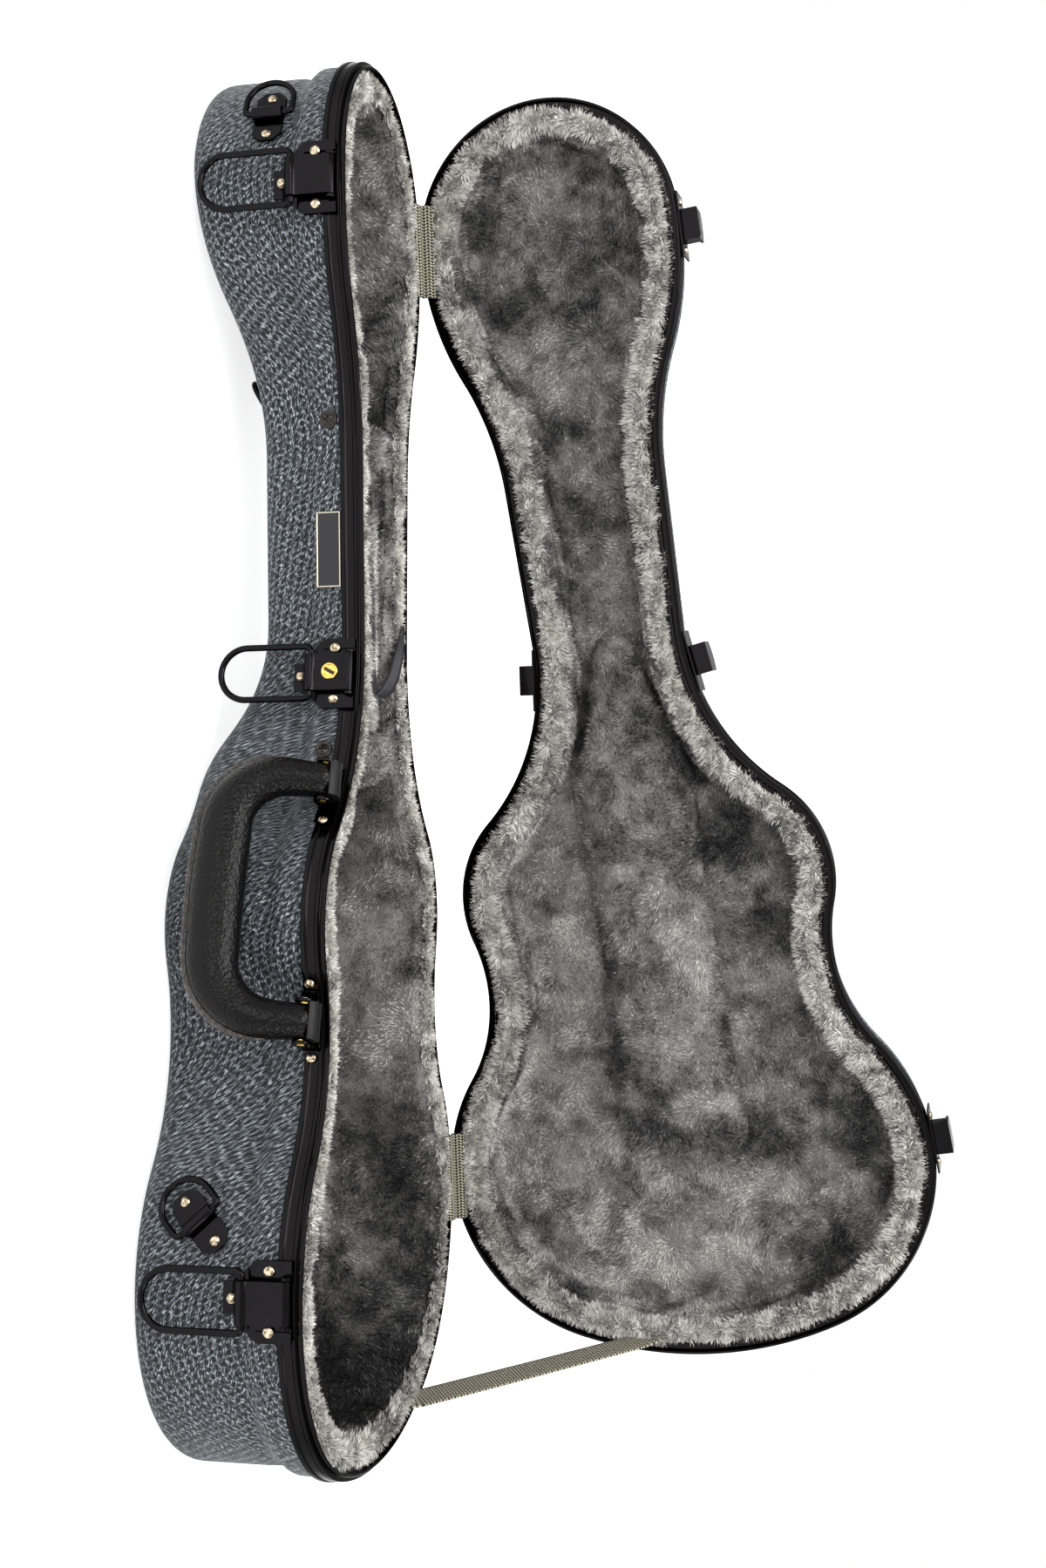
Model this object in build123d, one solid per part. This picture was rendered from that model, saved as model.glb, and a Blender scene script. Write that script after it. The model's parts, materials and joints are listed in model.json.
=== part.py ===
from build123d import *
import os
from collections import namedtuple
from math import asin, atan2, cos, degrees, pi, radians, sin, sqrt

# Ukulele case lying on its back with the lid standing open. Millimetres.
# Origin: on the flat back, on the centre line, 540 mm from the head end.
# X runs from the head to the tail, Y from the latches to the hinge, Z up.
# A shift says how far a piece lies towards the tail from its landmark of the outline:
# the centre of the head's arc, the end of the neck's straight or the centre of a bout's arc.

# Outline of the case, walked from the head end round to the tail
head_reach = 540.0
head_end_radius = 73.7
head_end_turn = -85.8
head_side_radius = 160.0
head_side_turn = -28.2
head_flare_radius = 171.0
head_flare_turn = 22.5
neck_straight = 90.3
shoulder_radius = 121.3
shoulder_turn = 50.7
upper_bout_radius = 64.5
upper_bout_turn = -66.9
waist_radius = 87.8
waist_turn = 55.4
lower_bout_radius = 101.5
lower_bout_turn = -106.9

# Base shell: a deep tray with a collar under the rim and a slimmer wall below
base_depth = 80.0
collar_drop = 20.5
step_drop = 9.0
step_in = 3.7
lower_wall = 4.0
base_floor = 6.0
base_edge_bevel = 7.9

# Arch under the neck, so that the case stands on its head and body ends
arch_shift = -16.2
arch_slope_length = 150.0
arch_rise = 28.0
arch_crown_length = 84.0
arch_crown_radius = 100.0
arch_foot_radius = 50.0
arch_foot_turn = 32.0

# Lid shell
lid_depth = 36.0
lid_top = 3.5
lid_edge_bevel = 9.2
lid_open = 86.0

# Rims: an angle section, a tongue on the base and a groove in the lid
rim_width = 6.5
rim_sheet = 1.4
rim_skirt = 8.5
rim_gap = 0.4
rim_fit = 0.1
tongue_height = 2.5
tongue_inset = 2.2
tongue_width = 1.4
groove_clearance = 0.7
groove_depth = 2.6

# How far a cutting solid runs past what it cuts
cut_past = 1.0

# Padding
pad_clearance = 0.3
pad_inner_inset = 22.0
pad_below_rim = 1.0
floor_pad = 5.0
floor_pad_inset = 15.2
lid_pad = 6.0
bolster_start_shift = -4.9
bolster_end_shift = -1.8
bolster_tip = 14.0
bolster_flare = 62.0
bolster_half_width = 39.0
bolster_waist = 2.0
bolster_corner = 14.0
bolster_height = 14.0
bolster_edge = 5.0
bolster_side_gap = 1.5
bolster_clearance = 0.3

# Neck blocks and the compartment between them
head_block_shift = -117.9
head_block_thickness = 22.0
body_block_shift = 45.1
body_block_thickness = 24.0
block_shoulder_drop = 4.0
saddle_drop = 16.0
saddle_radius = 24.0
head_block_nose = 4.0
body_block_nose = 10.0
compartment_lid_thickness = 6.0
compartment_lid_drop = 9.0
compartment_ledge = 3.0
compartment_clearance = 0.5
tab_width = 10.0
tab_length = 33.0
tab_thickness = 0.8
tab_shift = -50.9

# Draw latches: a plate with ears, a lever cover and a wire bail
latch_head_shift = 9.8
latch_middle_shift = 20.1
latch_lower_shift = -4.8
latch_back_shift = 17.6
seat_gap = 0.1
plate_half_width = 17.5
plate_top_drop = 0.8
plate_shoulder_drop = 17.0
plate_bend_drop = 21.0
plate_foot_drop = 34.0
plate_foot_half_width = 7.0
plate_foot_ease = 0.5
plate_bend_ease = 0.4
plate_sheet = 1.2
plate_roll_width = 5.0
plate_roll_height = 1.2
ear_inner = 9.8
ear_sheet = 1.3
ear_radius = 2.2
pin_drop = 3.0
pin_out = 3.7
pin_radius = 1.1
pin_clearance = 0.08
lever_half_width = 9.3
lever_tube_radius = 2.0
lever_sheet = 1.2
lever_cover_out = 6.4
cheek_tube_overlap = 0.1
cheek_barrel_overlap = 0.2
lever_length = 19.5
barrel_out = 4.9
barrel_radius = 2.9
wire_radius = 1.6
bail_half_width = 13.15
bail_length = 46.0
bail_bend = 2.2
bow_runs = 12
stub_inner = 6.2
bail_latched = 178.0
strike_sheet = 1.0
strike_bottom = 2.0
strike_top = 19.5
hook_half_width = 8.5
hook_bottom = 7.0
hook_clearance = 0.3
hook_lip = 1.5
hook_lip_rise = 2.4
plug_drop = 12.0
plug_radius = 3.4
plug_gap = 0.1
plug_flange = 4.1
plug_flange_height = 1.0
plug_tail = 2.6
plug_slot_width = 1.0
plug_slot_length = 4.6
plug_slot_depth = 0.6

# Carrying handle
handle_head_end_shift = -71.2
handle_tail_end_shift = 41.2
handle_out = 14.0
handle_drop = 5.0
handle_lean = 21.0
handle_reach = 44.0
bracket_head_shift = 7.6
bracket_tail_shift = -0.8
grip_leg_radius = 8.4
grip_bar_radius = 10.6
grip_shoulder_radius = 10.0
grip_steps = 5
grip_flats = 20
grip_corner_radius = 30.0
grip_end_rise = 2.0
leg_inset = 1.4
seam_out = 3.2
seam_thickness = 2.4
seam_share = 0.5
clip_crown = 8.0
clip_gap = 0.1
clip_core = 7.0
clip_core_width = 11.0
clip_core_length = 16.0
handle_pin_radius = 2.0
handle_pin_clearance = 0.08
handle_pin_stub = 0.4
bracket_reach = 27.0
bracket_height = 8.4
bracket_sheet = 1.4
bracket_ear_sheet = 1.6
bracket_ear_gap = 0.4

# Strap rings
ring_wire_radius = 1.5
ring_width = 27.0
ring_reach = 22.0
ring_plate_length = 31.0
ring_plate_width = 15.0
ring_plate_sheet = 1.3
ring_plate_corner = 4.0
loop_radius = 3.1
loop_width = 15.0
ring_clearance = 0.1
head_ring_shift = -29.2
head_ring_drop = 38.5
tail_ring_shift = -36.8
tail_ring_drop = 47.5
tail_ring_turn = 45.0
back_ring_up_slope = 120.0
back_ring_lean = 22.0

# Badge
badge_shift = -42.4
badge_length = 37.5
badge_height = 12.4
badge_drop = 15.0
badge_sheet = 1.0
badge_border = 1.2
badge_border_height = 0.4

# Fabric hinges and the stay that holds the lid
webbing_width = 51.0
webbing_thickness = 1.2
webbing_inset = 7.3
webbing_drop = 14.0
webbing_lid_depth = 12.0
webbing_head_shift = -4.7
webbing_tail_shift = -7.6
webbing_face_gap = 0.3
pocket_clearance = 1.0
stay_width = 15.0
stay_thickness = 1.0
stay_inset = 7.8
stay_base_y = 47.0
stay_lid_y = 36.0
stay_tail = 9.0
stay_rise = 1.0

# Pivot line of the webbing hinges, outside the outline
hinge_out = 1.2

Piece = namedtuple("Piece", "start middle end centre radius side")


def half_outline(inset):
    """Arcs and one line from the head end to the tail on the +Y side, moved in by inset"""
    x, y, heading = -head_reach + inset, 0.0, 90.0
    walk = [(head_end_radius, head_end_turn), (head_side_radius, head_side_turn),
            (head_flare_radius, head_flare_turn), (None, neck_straight),
            (shoulder_radius, shoulder_turn), (upper_bout_radius, upper_bout_turn),
            (waist_radius, waist_turn), (lower_bout_radius, lower_bout_turn), (0.0, 0.0)]
    pieces = []
    for radius, turn in walk:
        way = radians(heading)
        if radius is None:
            end = (x + turn * cos(way), y + turn * sin(way))
            pieces.append(Piece((x, y), None, end, None, None, 0))
            x, y = end
            continue
        side = 1 if turn > 0 else -1
        reach = radius + side * inset
        if radius == 0.0:
            reach = y / cos(way)
            turn = -(heading + 90.0)
            side = -1
        centre = (x - side * reach * sin(way), y + side * reach * cos(way))
        half, full = radians(heading + turn / 2), radians(heading + turn)
        middle = (centre[0] + side * reach * sin(half), centre[1] - side * reach * cos(half))
        end = (centre[0] + side * reach * sin(full), centre[1] - side * reach * cos(full))
        pieces.append(Piece((x, y), middle, end, centre, reach, side))
        x, y = end
        heading += turn
    return pieces


# Landmarks of the outline, and the places that hang on them
head_arc, neck_line, upper_bout, lower_bout = (half_outline(0.0)[number] for number in (0, 3, 5, 7))
head_centre = head_arc.centre[0]
neck_end = neck_line.end[0]
upper_bout_centre = upper_bout.centre[0]
lower_bout_centre = lower_bout.centre[0]
arch_start = head_centre + arch_shift
latch_head = head_centre + latch_head_shift
latch_middle = neck_end + latch_middle_shift
latch_back = neck_end + latch_back_shift
latch_lower = lower_bout_centre + latch_lower_shift
handle_head_end = upper_bout_centre + handle_head_end_shift
handle_tail_end = upper_bout_centre + handle_tail_end_shift
bracket_head = handle_head_end + bracket_head_shift
bracket_tail = handle_tail_end + bracket_tail_shift
head_ring_place = head_centre + head_ring_shift
tail_ring_place = lower_bout_centre + tail_ring_shift
back_ring_place = arch_start + back_ring_up_slope
badge_place = neck_end + badge_shift
webbing_head = head_centre + webbing_head_shift
webbing_tail = lower_bout_centre + webbing_tail_shift
head_block_start = neck_end + head_block_shift
head_block_end = head_block_start + head_block_thickness
body_block_start = neck_end + body_block_shift
body_block_end = body_block_start + body_block_thickness
tab_place = neck_end + tab_shift
bolster_start = neck_end + bolster_start_shift
bolster_end = lower_bout_centre + bolster_end_shift


def outline(inset):
    """Closed outline of the case, moved in by inset"""
    edges = []
    pieces = half_outline(inset)
    for piece in pieces:
        tail = 0.0 if piece is pieces[-1] else piece.end[1]
        for mirror in (1, -1):
            start = (piece.start[0], mirror * piece.start[1])
            end = (piece.end[0], mirror * tail)
            if piece.middle is None:
                edges.append(Line(start, end))
            else:
                edges.append(ThreePointArc(start, (piece.middle[0], mirror * piece.middle[1]), end))
    return make_face(edges)


def prism(inset, low, high):
    """Upright solid inside the outline moved in by inset, from height low to high"""
    return extrude(outline(inset).moved(Location((0, 0, low))), amount=high - low)


def ring(outer, inner, low, high):
    """Wall between two insets, from height low to high"""
    return prism(outer, low, high) - prism(inner, low - cut_past, high + cut_past)


def edge_at(x):
    """Half width, outward normal and hollow radius (0 where not hollow) of the outline at x"""
    for piece in half_outline(0.0):
        if piece.start[0] <= x <= piece.end[0] or piece.end[1] < 0.001:
            break
    if piece.middle is None:
        run = (piece.end[0] - piece.start[0], piece.end[1] - piece.start[1])
        length = sqrt(run[0] ** 2 + run[1] ** 2)
        y = piece.start[1] + run[1] * (x - piece.start[0]) / run[0]
        return y, (-run[1] / length, run[0] / length), 0.0
    rise = sqrt(max(piece.radius ** 2 - (x - piece.centre[0]) ** 2, 0.0))
    y = piece.centre[1] - piece.side * rise
    normal = ((x - piece.centre[0]) / piece.radius, (y - piece.centre[1]) / piece.radius)
    if piece.side > 0:
        normal = (-normal[0], -normal[1])
    return y, normal, piece.radius if piece.side > 0 else 0.0


def stand_off(x, half_width):
    """How far a flat plate stands off the outline at x: its gap and the hollow behind it"""
    hollow = edge_at(x)[2]
    return seat_gap + (half_width ** 2 / (2 * hollow) if hollow else 0.0)


def on_edge(x, side, out=0.0, drop=0.0):
    """Place on the wall: local Y points straight out, Z up, zero height at the rim"""
    y, normal, _ = edge_at(x)
    turn = degrees(atan2(side * normal[1], normal[0])) - 90
    return Location((x + normal[0] * out, side * (y + normal[1] * out), base_depth - drop), (0, 0, turn))


def block(x0, x1, y0, y1, z0, z1):
    """Box between two corners"""
    return Pos((x0 + x1) / 2, (y0 + y1) / 2, (z0 + z1) / 2) * Box(x1 - x0, y1 - y0, z1 - z0)


def rod(start, end, radius):
    """Round bar between two points"""
    way = Vector(*end) - Vector(*start)
    plane = Plane(origin=start, z_dir=way)
    return extrude(plane * Circle(radius), amount=way.length)


def plate_xz(points, y0, y1):
    """Straight-sided outline in the local XZ plane, from y0 to y1"""
    face = make_face(Polyline(*points, close=True))
    return extrude(Plane.XZ.offset(-y0) * face, amount=-(y1 - y0))


def plate_yz(points, x0, x1):
    """Straight-sided outline in the local YZ plane, from x0 to x1"""
    face = make_face(Polyline(*points, close=True))
    return extrude(Plane.YZ.offset(x0) * face, amount=x1 - x0)


def hinge_line():
    """Axis of the lid: it touches the head and the lower bout on the hinge side"""
    run = (lower_bout.centre[0] - head_centre, lower_bout.centre[1] - head_arc.centre[1])
    span = sqrt(run[0] ** 2 + run[1] ** 2)
    lean = atan2(run[1], run[0]) + asin((lower_bout.radius - head_arc.radius) / span)
    out = (-sin(lean), cos(lean))
    reach = head_arc.radius + hinge_out
    point = (head_centre + reach * out[0], head_arc.centre[1] + reach * out[1], base_depth + rim_gap / 2)
    return Axis(point, (cos(lean), sin(lean), 0))


lid_base = base_depth + rim_gap


def opened(shape):
    """Turn a piece drawn on the closed lid to where it is with the lid open"""
    return shape.rotate(hinge_line(), -lid_open)


def under_arch(lift):
    """All that lies below the underside of the base, raised by lift"""
    start, low = arch_start, lift
    run = arch_slope_length
    bend = (run ** 2 + arch_rise ** 2) / (4 * arch_rise)
    half = asin(run / 2 / bend) / 2
    crown = start + run
    high = low + arch_rise
    drop = crown + arch_crown_length
    turn = radians(arch_foot_turn)
    knee = (drop + arch_crown_radius * sin(turn), high - arch_crown_radius * (1 - cos(turn)))
    foot_top = low + arch_foot_radius * (1 - cos(turn))
    foot = (knee[0] + (knee[1] - foot_top) * cos(turn) / sin(turn), foot_top)
    end = foot[0] + arch_foot_radius * sin(turn)
    far = head_reach + base_depth
    edges = [
        ThreePointArc((start, low), (start + bend * sin(half), low + bend * (1 - cos(half))),
                      (start + run / 2, low + arch_rise / 2)),
        ThreePointArc((start + run / 2, low + arch_rise / 2),
                      (crown - bend * sin(half), high - bend * (1 - cos(half))), (crown, high)),
        Line((crown, high), (drop, high)),
        ThreePointArc((drop, high), (drop + arch_crown_radius * sin(turn / 2),
                                     high - arch_crown_radius * (1 - cos(turn / 2))), knee),
        Line(knee, foot),
        ThreePointArc(foot, (end - arch_foot_radius * sin(turn / 2),
                             low + arch_foot_radius * (1 - cos(turn / 2))), (end, low)),
        Polyline((end, low), (far, low), (far, -arch_rise), (-far, -arch_rise), (-far, low), (start, low)),
    ]
    return extrude(Rot(90, 0, 0) * make_face(edges), amount=far, both=True)


def floor_at(x):
    """Height of the underside of the base above the ground at x, on the head-side slope"""
    bend = (arch_slope_length ** 2 + arch_rise ** 2) / (4 * arch_rise)
    run = x - arch_start
    if run < arch_slope_length / 2:
        return bend - sqrt(bend ** 2 - run ** 2)
    return arch_rise - bend + sqrt(bend ** 2 - (arch_slope_length - run) ** 2)


def slope_at(x):
    """Angle of the head-side slope of the arch at x, in degrees"""
    bend = (arch_slope_length ** 2 + arch_rise ** 2) / (4 * arch_rise)
    run = x - arch_start
    return degrees(asin(min(run, arch_slope_length - run) / bend))


def bottom_edges(solid, level):
    """Edges where the upright walls meet the underside, below a level"""
    walls = [f for f in solid.faces() if abs(f.normal_at().Z) < 0.05 and f.bounding_box().min.Z < level]
    under = [f for f in solid.faces() if f.normal_at().Z < -0.3]
    return [e for e in solid.edges() if any(e in f.edges() for f in walls)
            and any(e in f.edges() for f in under)]


collar_inset = rim_sheet + rim_fit
lower_inset = collar_inset + step_in
inner_inset = lower_inset + lower_wall
shell_top = base_depth - rim_sheet - rim_fit
step_top = base_depth - collar_drop
step_bottom = step_top - step_drop
webbing_low = base_depth - webbing_drop


def webbing_window(place, extra):
    """Upright slab across the hinge-side wall where a webbing hinge goes"""
    half = webbing_width / 2 + extra
    return block(place - half, place + half, 0, head_reach, 0, 2 * base_depth)


def stay_window(y):
    """Upright slab across the tail end where the stay goes in"""
    half = stay_width / 2 + pocket_clearance
    return block(lower_bout_centre, head_reach, y - half, y + half, 0, 2 * base_depth)


def base_shell():
    lower = prism(lower_inset, -cut_past, step_bottom) - under_arch(0)
    lower = lower.chamfer(base_edge_bevel, None, bottom_edges(lower, step_bottom - cut_past))
    step = loft([outline(lower_inset).moved(Location((0, 0, step_bottom))),
                 outline(collar_inset).moved(Location((0, 0, step_top)))], ruled=True)
    shell = lower + step + prism(collar_inset, step_top, shell_top)
    shell -= prism(inner_inset, 0, base_depth) - under_arch(base_floor)
    pocket = ring(rim_width, inner_inset + cut_past, webbing_low - pocket_clearance, base_depth)
    for place in (webbing_head, webbing_tail):
        shell -= pocket & webbing_window(place, pocket_clearance)
    return shell - (pocket & stay_window(stay_base_y))


def base_rim():
    skirt = ring(0, rim_sheet, base_depth - rim_skirt, base_depth)
    lap = ring(rim_sheet / 2, rim_width, base_depth - rim_sheet, base_depth)
    tongue = ring(tongue_inset, tongue_inset + tongue_width, base_depth - rim_sheet / 2,
                  base_depth + tongue_height)
    return skirt + lap + tongue


def lid_shell():
    low, high = lid_base + groove_depth + rim_sheet + rim_fit, lid_base + lid_depth
    shell = prism(collar_inset, low, high)
    shell = shell.chamfer(lid_edge_bevel, None, shell.faces().sort_by(Axis.Z)[-1].edges())
    shell -= prism(inner_inset, 0, high - lid_top)
    pocket = ring(rim_width, inner_inset + cut_past, 0, lid_base + webbing_drop)
    for place in (webbing_head, webbing_tail):
        shell -= pocket & webbing_window(place, pocket_clearance)
    return shell - (pocket & stay_window(stay_lid_y))


def lid_rim():
    """Channel for the tongue: outer skirt, floor behind the groove and inner wall"""
    groove_in = tongue_inset - groove_clearance
    groove_out = tongue_inset + tongue_width + groove_clearance
    skirt = ring(0, rim_sheet, lid_base, lid_base + rim_skirt)
    lap = ring(rim_sheet / 2, rim_width, lid_base, lid_base + groove_depth + rim_sheet)
    return skirt + lap - ring(groove_in, groove_out, lid_base - cut_past, lid_base + groove_depth)


def block_slab(start, end, extra):
    """Slab across the case where a neck block sits"""
    return block(start - extra, end + extra, -head_reach, head_reach, 0, base_depth)


def compartment_span():
    """Where the compartment lid starts and ends, and its half width"""
    narrow = neck_line.end[1]
    start = head_block_end + compartment_clearance
    end = body_block_start - compartment_clearance
    return start, end, narrow - pad_inner_inset - compartment_clearance


pad_outer_inset = inner_inset + pad_clearance
floor_lift = base_floor + pad_clearance
side_lift = floor_lift + floor_pad + pad_clearance
compartment_top = base_depth - compartment_lid_drop
compartment_bottom = compartment_top - compartment_lid_thickness


def base_floor_padding():
    pad = prism(floor_pad_inset, 0, base_depth / 2 + arch_rise)
    pad = (pad - under_arch(floor_lift)) & under_arch(floor_lift + floor_pad)
    pad -= block_slab(head_block_start, head_block_end, pad_clearance)
    return pad - block_slab(body_block_start, body_block_end, pad_clearance)


def base_side_padding():
    """Padded wall, thicker beside the compartment to make the ledge its lid rests on"""
    top = base_depth - pad_below_rim
    pad = ring(pad_outer_inset, pad_inner_inset, 0, top)
    start, end, half = compartment_span()
    ledge = prism(pad_inner_inset - cut_past, 0, compartment_bottom - pad_clearance)
    ledge &= block(start, end, -head_reach, head_reach, 0, base_depth)
    near, far = start - cut_past, end + cut_past
    ledge -= block(near, far, compartment_ledge - half, half - compartment_ledge, 0, base_depth)
    pad = pad + ledge - under_arch(side_lift)
    pad -= block_slab(head_block_start, head_block_end, pad_clearance)
    return pad - block_slab(body_block_start, body_block_end, pad_clearance)


def neck_block(start, end, nose):
    """Padded block from wall to wall with a hollow that holds the neck, nose towards the tail"""
    low, high = base_floor, base_depth - block_shoulder_drop
    centre = base_depth - saddle_drop + saddle_radius
    turn = nose * (1 - sqrt(0.5))
    edges = [Polyline((end - nose, high), (start, high), (start, low), (end, low), (end, high - nose)),
             ThreePointArc((end, high - nose), (end - turn, high - turn), (end - nose, high))]
    slab = extrude(Rot(90, 0, 0) * make_face(edges), amount=head_reach, both=True)
    form = prism(pad_outer_inset, low, high) & slab
    form -= under_arch(floor_lift)
    form -= rod((start - cut_past, 0, centre), (end + cut_past, 0, centre), saddle_radius)
    return form


def badge_plate():
    """Bare plate with a raised border"""
    half, rise = badge_length / 2, badge_height / 2
    plate = block(-half, half, 0, badge_sheet, -rise, rise)
    frame = block(-half, half, 0, badge_sheet + badge_border_height, -rise, rise)
    inner = block(badge_border - half, half - badge_border, 0, 2 * badge_sheet, badge_border - rise,
                  rise - badge_border)
    face = frame - inner + plate
    return on_edge(badge_place, -1, out=seat_gap - collar_inset, drop=badge_drop) * face


def seat(x, side):
    """Place of a latch on the wall: local Y points out from the back of its plate"""
    return on_edge(x, side, out=stand_off(x, plate_half_width))


def latch_plate(x, side):
    """Shield-shaped plate, bent in at its foot to follow the wall, with a pin riveted in two ears"""
    wall = pad_clearance - lower_inset - stand_off(x, plate_half_width)
    foot_bend = collar_drop + step_drop + plate_foot_ease
    section = [(0, -plate_top_drop), (0, -plate_bend_drop), (wall, -foot_bend), (wall, -plate_foot_drop),
               (wall + plate_sheet, -plate_foot_drop), (wall + plate_sheet, plate_bend_ease - foot_bend),
               (plate_sheet, plate_bend_ease - plate_bend_drop), (plate_sheet, -plate_top_drop)]
    shield = [(-plate_half_width, -plate_top_drop), (plate_half_width, -plate_top_drop),
              (plate_half_width, -plate_shoulder_drop), (plate_foot_half_width, -foot_bend),
              (plate_foot_half_width, -plate_foot_drop), (-plate_foot_half_width, -plate_foot_drop),
              (-plate_foot_half_width, -foot_bend), (-plate_half_width, -plate_shoulder_drop)]
    plate = plate_yz(section, -plate_half_width, plate_half_width)
    plate &= plate_xz(shield, -plate_half_width, plate_half_width)
    for mirror in (-1, 1):
        outer = mirror * plate_half_width
        inner = mirror * (plate_half_width - plate_roll_width)
        plate += block(min(inner, outer), max(inner, outer), 0, plate_sheet + plate_roll_height,
                       -plate_shoulder_drop, -plate_top_drop)
        near, far = mirror * ear_inner, mirror * (ear_inner + ear_sheet)
        ear = block(min(near, far), max(near, far), 0, pin_out,
                    -pin_drop - ear_radius, ear_radius - pin_drop)
        plate += ear + rod((near, pin_out, -pin_drop), (far, pin_out, -pin_drop), ear_radius)
    plate += rod((-ear_inner, pin_out, -pin_drop), (ear_inner, pin_out, -pin_drop), pin_radius)
    return seat(x, side) * plate


def barrel_drop():
    """How far the barrel that holds the bail lies below the rim"""
    return pin_drop + lever_length


def latch_lever(x, side, lock):
    """Pressed cover with two cheeks, a tube round the pin and a barrel that holds the bail"""
    low = barrel_drop()
    cover = block(-lever_half_width, lever_half_width, lever_cover_out - lever_sheet, lever_cover_out,
                  -low, -pin_drop)
    cheek_top = pin_out - lever_tube_radius + cheek_tube_overlap
    cheek_foot = barrel_out - barrel_radius + cheek_barrel_overlap
    cheek_out = lever_cover_out - lever_sheet / 2
    cheek = [(cheek_top, -pin_drop), (cheek_out, -pin_drop), (cheek_out, -low), (cheek_foot, -low)]
    lever = cover
    for mirror in (-1, 1):
        near = mirror * (lever_half_width - lever_sheet)
        far = mirror * lever_half_width
        lever += plate_yz(cheek, min(near, far), max(near, far))
    lever += rod((-lever_half_width, pin_out, -pin_drop), (lever_half_width, pin_out, -pin_drop),
                 lever_tube_radius)
    lever += rod((-lever_half_width, barrel_out, -low), (lever_half_width, barrel_out, -low),
                 barrel_radius)
    past = lever_half_width + cut_past
    lever -= rod((-past, pin_out, -pin_drop), (past, pin_out, -pin_drop), pin_radius + pin_clearance)
    lever -= rod((-past, barrel_out, -low), (past, barrel_out, -low), wire_radius + pin_clearance)
    if lock:
        lever -= rod((0, lever_cover_out - lever_sheet - cut_past, -plug_drop),
                     (0, lever_cover_out + cut_past, -plug_drop), plug_radius + pin_clearance)
    return seat(x, side) * lever


def wire(points, radius):
    """Wire of eight flats through points, mitred at each"""
    path = Polyline(*points)
    start = Plane(origin=path @ 0, z_dir=path % 0)
    return sweep(start * RegularPolygon(radius, 8), path=path, transition=Transition.RIGHT)


def bow(half, centre):
    """Points round the half circle of a bail or ring, from +half to -half, beyond centre"""
    angles = [radians(180 * step / bow_runs) for step in range(bow_runs + 1)]
    return [(half * cos(angle), centre + half * sin(angle)) for angle in angles]


def latch_bail(x, side):
    """Wire bail hanging from the barrel: two stubs, two arms and a round end"""
    top, out, half, bend = barrel_drop(), barrel_out, bail_half_width, bail_bend
    flat = [(stub_inner, top), (half - bend, top)] + bow(half, top + bail_length - half)
    flat.insert(2, (half, top + bend))
    flat += [(-half, top + bend), (bend - half, top), (-stub_inner, top)]
    return seat(x, side) * wire([(u, out, -drop) for u, drop in flat], wire_radius)


def bail_rest_out():
    """Where the round end of the bail lies when it is thrown over the strike"""
    turn = radians(180 - bail_latched)
    return barrel_out + bail_length * sin(turn), bail_length * cos(turn) - barrel_drop()


def strike(x, side):
    """Plate on the lid with a hooked block that the bail's round end drops behind"""
    out, apex = bail_rest_out()
    centre = apex - bail_half_width
    back = out + wire_radius + hook_clearance
    plate = block(-plate_half_width, plate_half_width, 0, strike_sheet, strike_bottom, strike_top)

    def hook(radius, y0, y1):
        rise = centre + sqrt(radius ** 2 - hook_half_width ** 2)
        left, right = (-hook_half_width, rise), (hook_half_width, rise)
        low_left, low_right = (-hook_half_width, hook_bottom), (hook_half_width, hook_bottom)
        edges = [ThreePointArc(left, (0, centre + radius), right), Line(right, low_right),
                 Line(low_right, low_left), Line(low_left, left)]
        return extrude(Plane.XZ.offset(-y0) * make_face(edges), amount=-(y1 - y0))

    seat_radius = bail_half_width - wire_radius - hook_clearance
    body = hook(seat_radius, 0, back + hook_lip) + hook(seat_radius + hook_lip_rise, back, back + hook_lip)
    return opened(seat(x, side) * (plate + body))


def lock_plug():
    """Lock barrel in the middle lever, with a flange and a blade slot"""
    out = lever_cover_out + plug_gap
    plug = rod((0, plug_tail, -plug_drop), (0, out, -plug_drop), plug_radius)
    plug += rod((0, out, -plug_drop), (0, out + plug_flange_height, -plug_drop), plug_flange)
    face = out + plug_flange_height
    half = plug_slot_length / 2
    plug -= block(-plug_slot_width / 2, plug_slot_width / 2, face - plug_slot_depth, face + cut_past,
                  -plug_drop - half, half - plug_drop)
    return seat(latch_middle, -1) * plug


def handle_ends():
    """Pivot points of the handle, standing off the wall on the latch side"""
    ends = []
    for x in (handle_head_end, handle_tail_end):
        y, normal, _ = edge_at(x)
        ends.append(Vector(x, -(y + handle_out / normal[1]), base_depth - handle_drop))
    return ends


def handle_plane():
    """Plane of the hanging handle: X along its axis, Y down the legs, Z towards the case"""
    head, tail = handle_ends()
    along = (tail - head).normalized()
    out = Vector(along.Y, -along.X, 0)
    lean = radians(handle_lean)
    down = out * sin(lean) + Vector(0, 0, -cos(lean))
    return Plane(origin=head, x_dir=along, z_dir=along.cross(down)), (tail - head).length


def handle_legs():
    """Where the two legs stand along the handle's axis"""
    span = handle_plane()[1]
    return leg_inset, span - leg_inset


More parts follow.
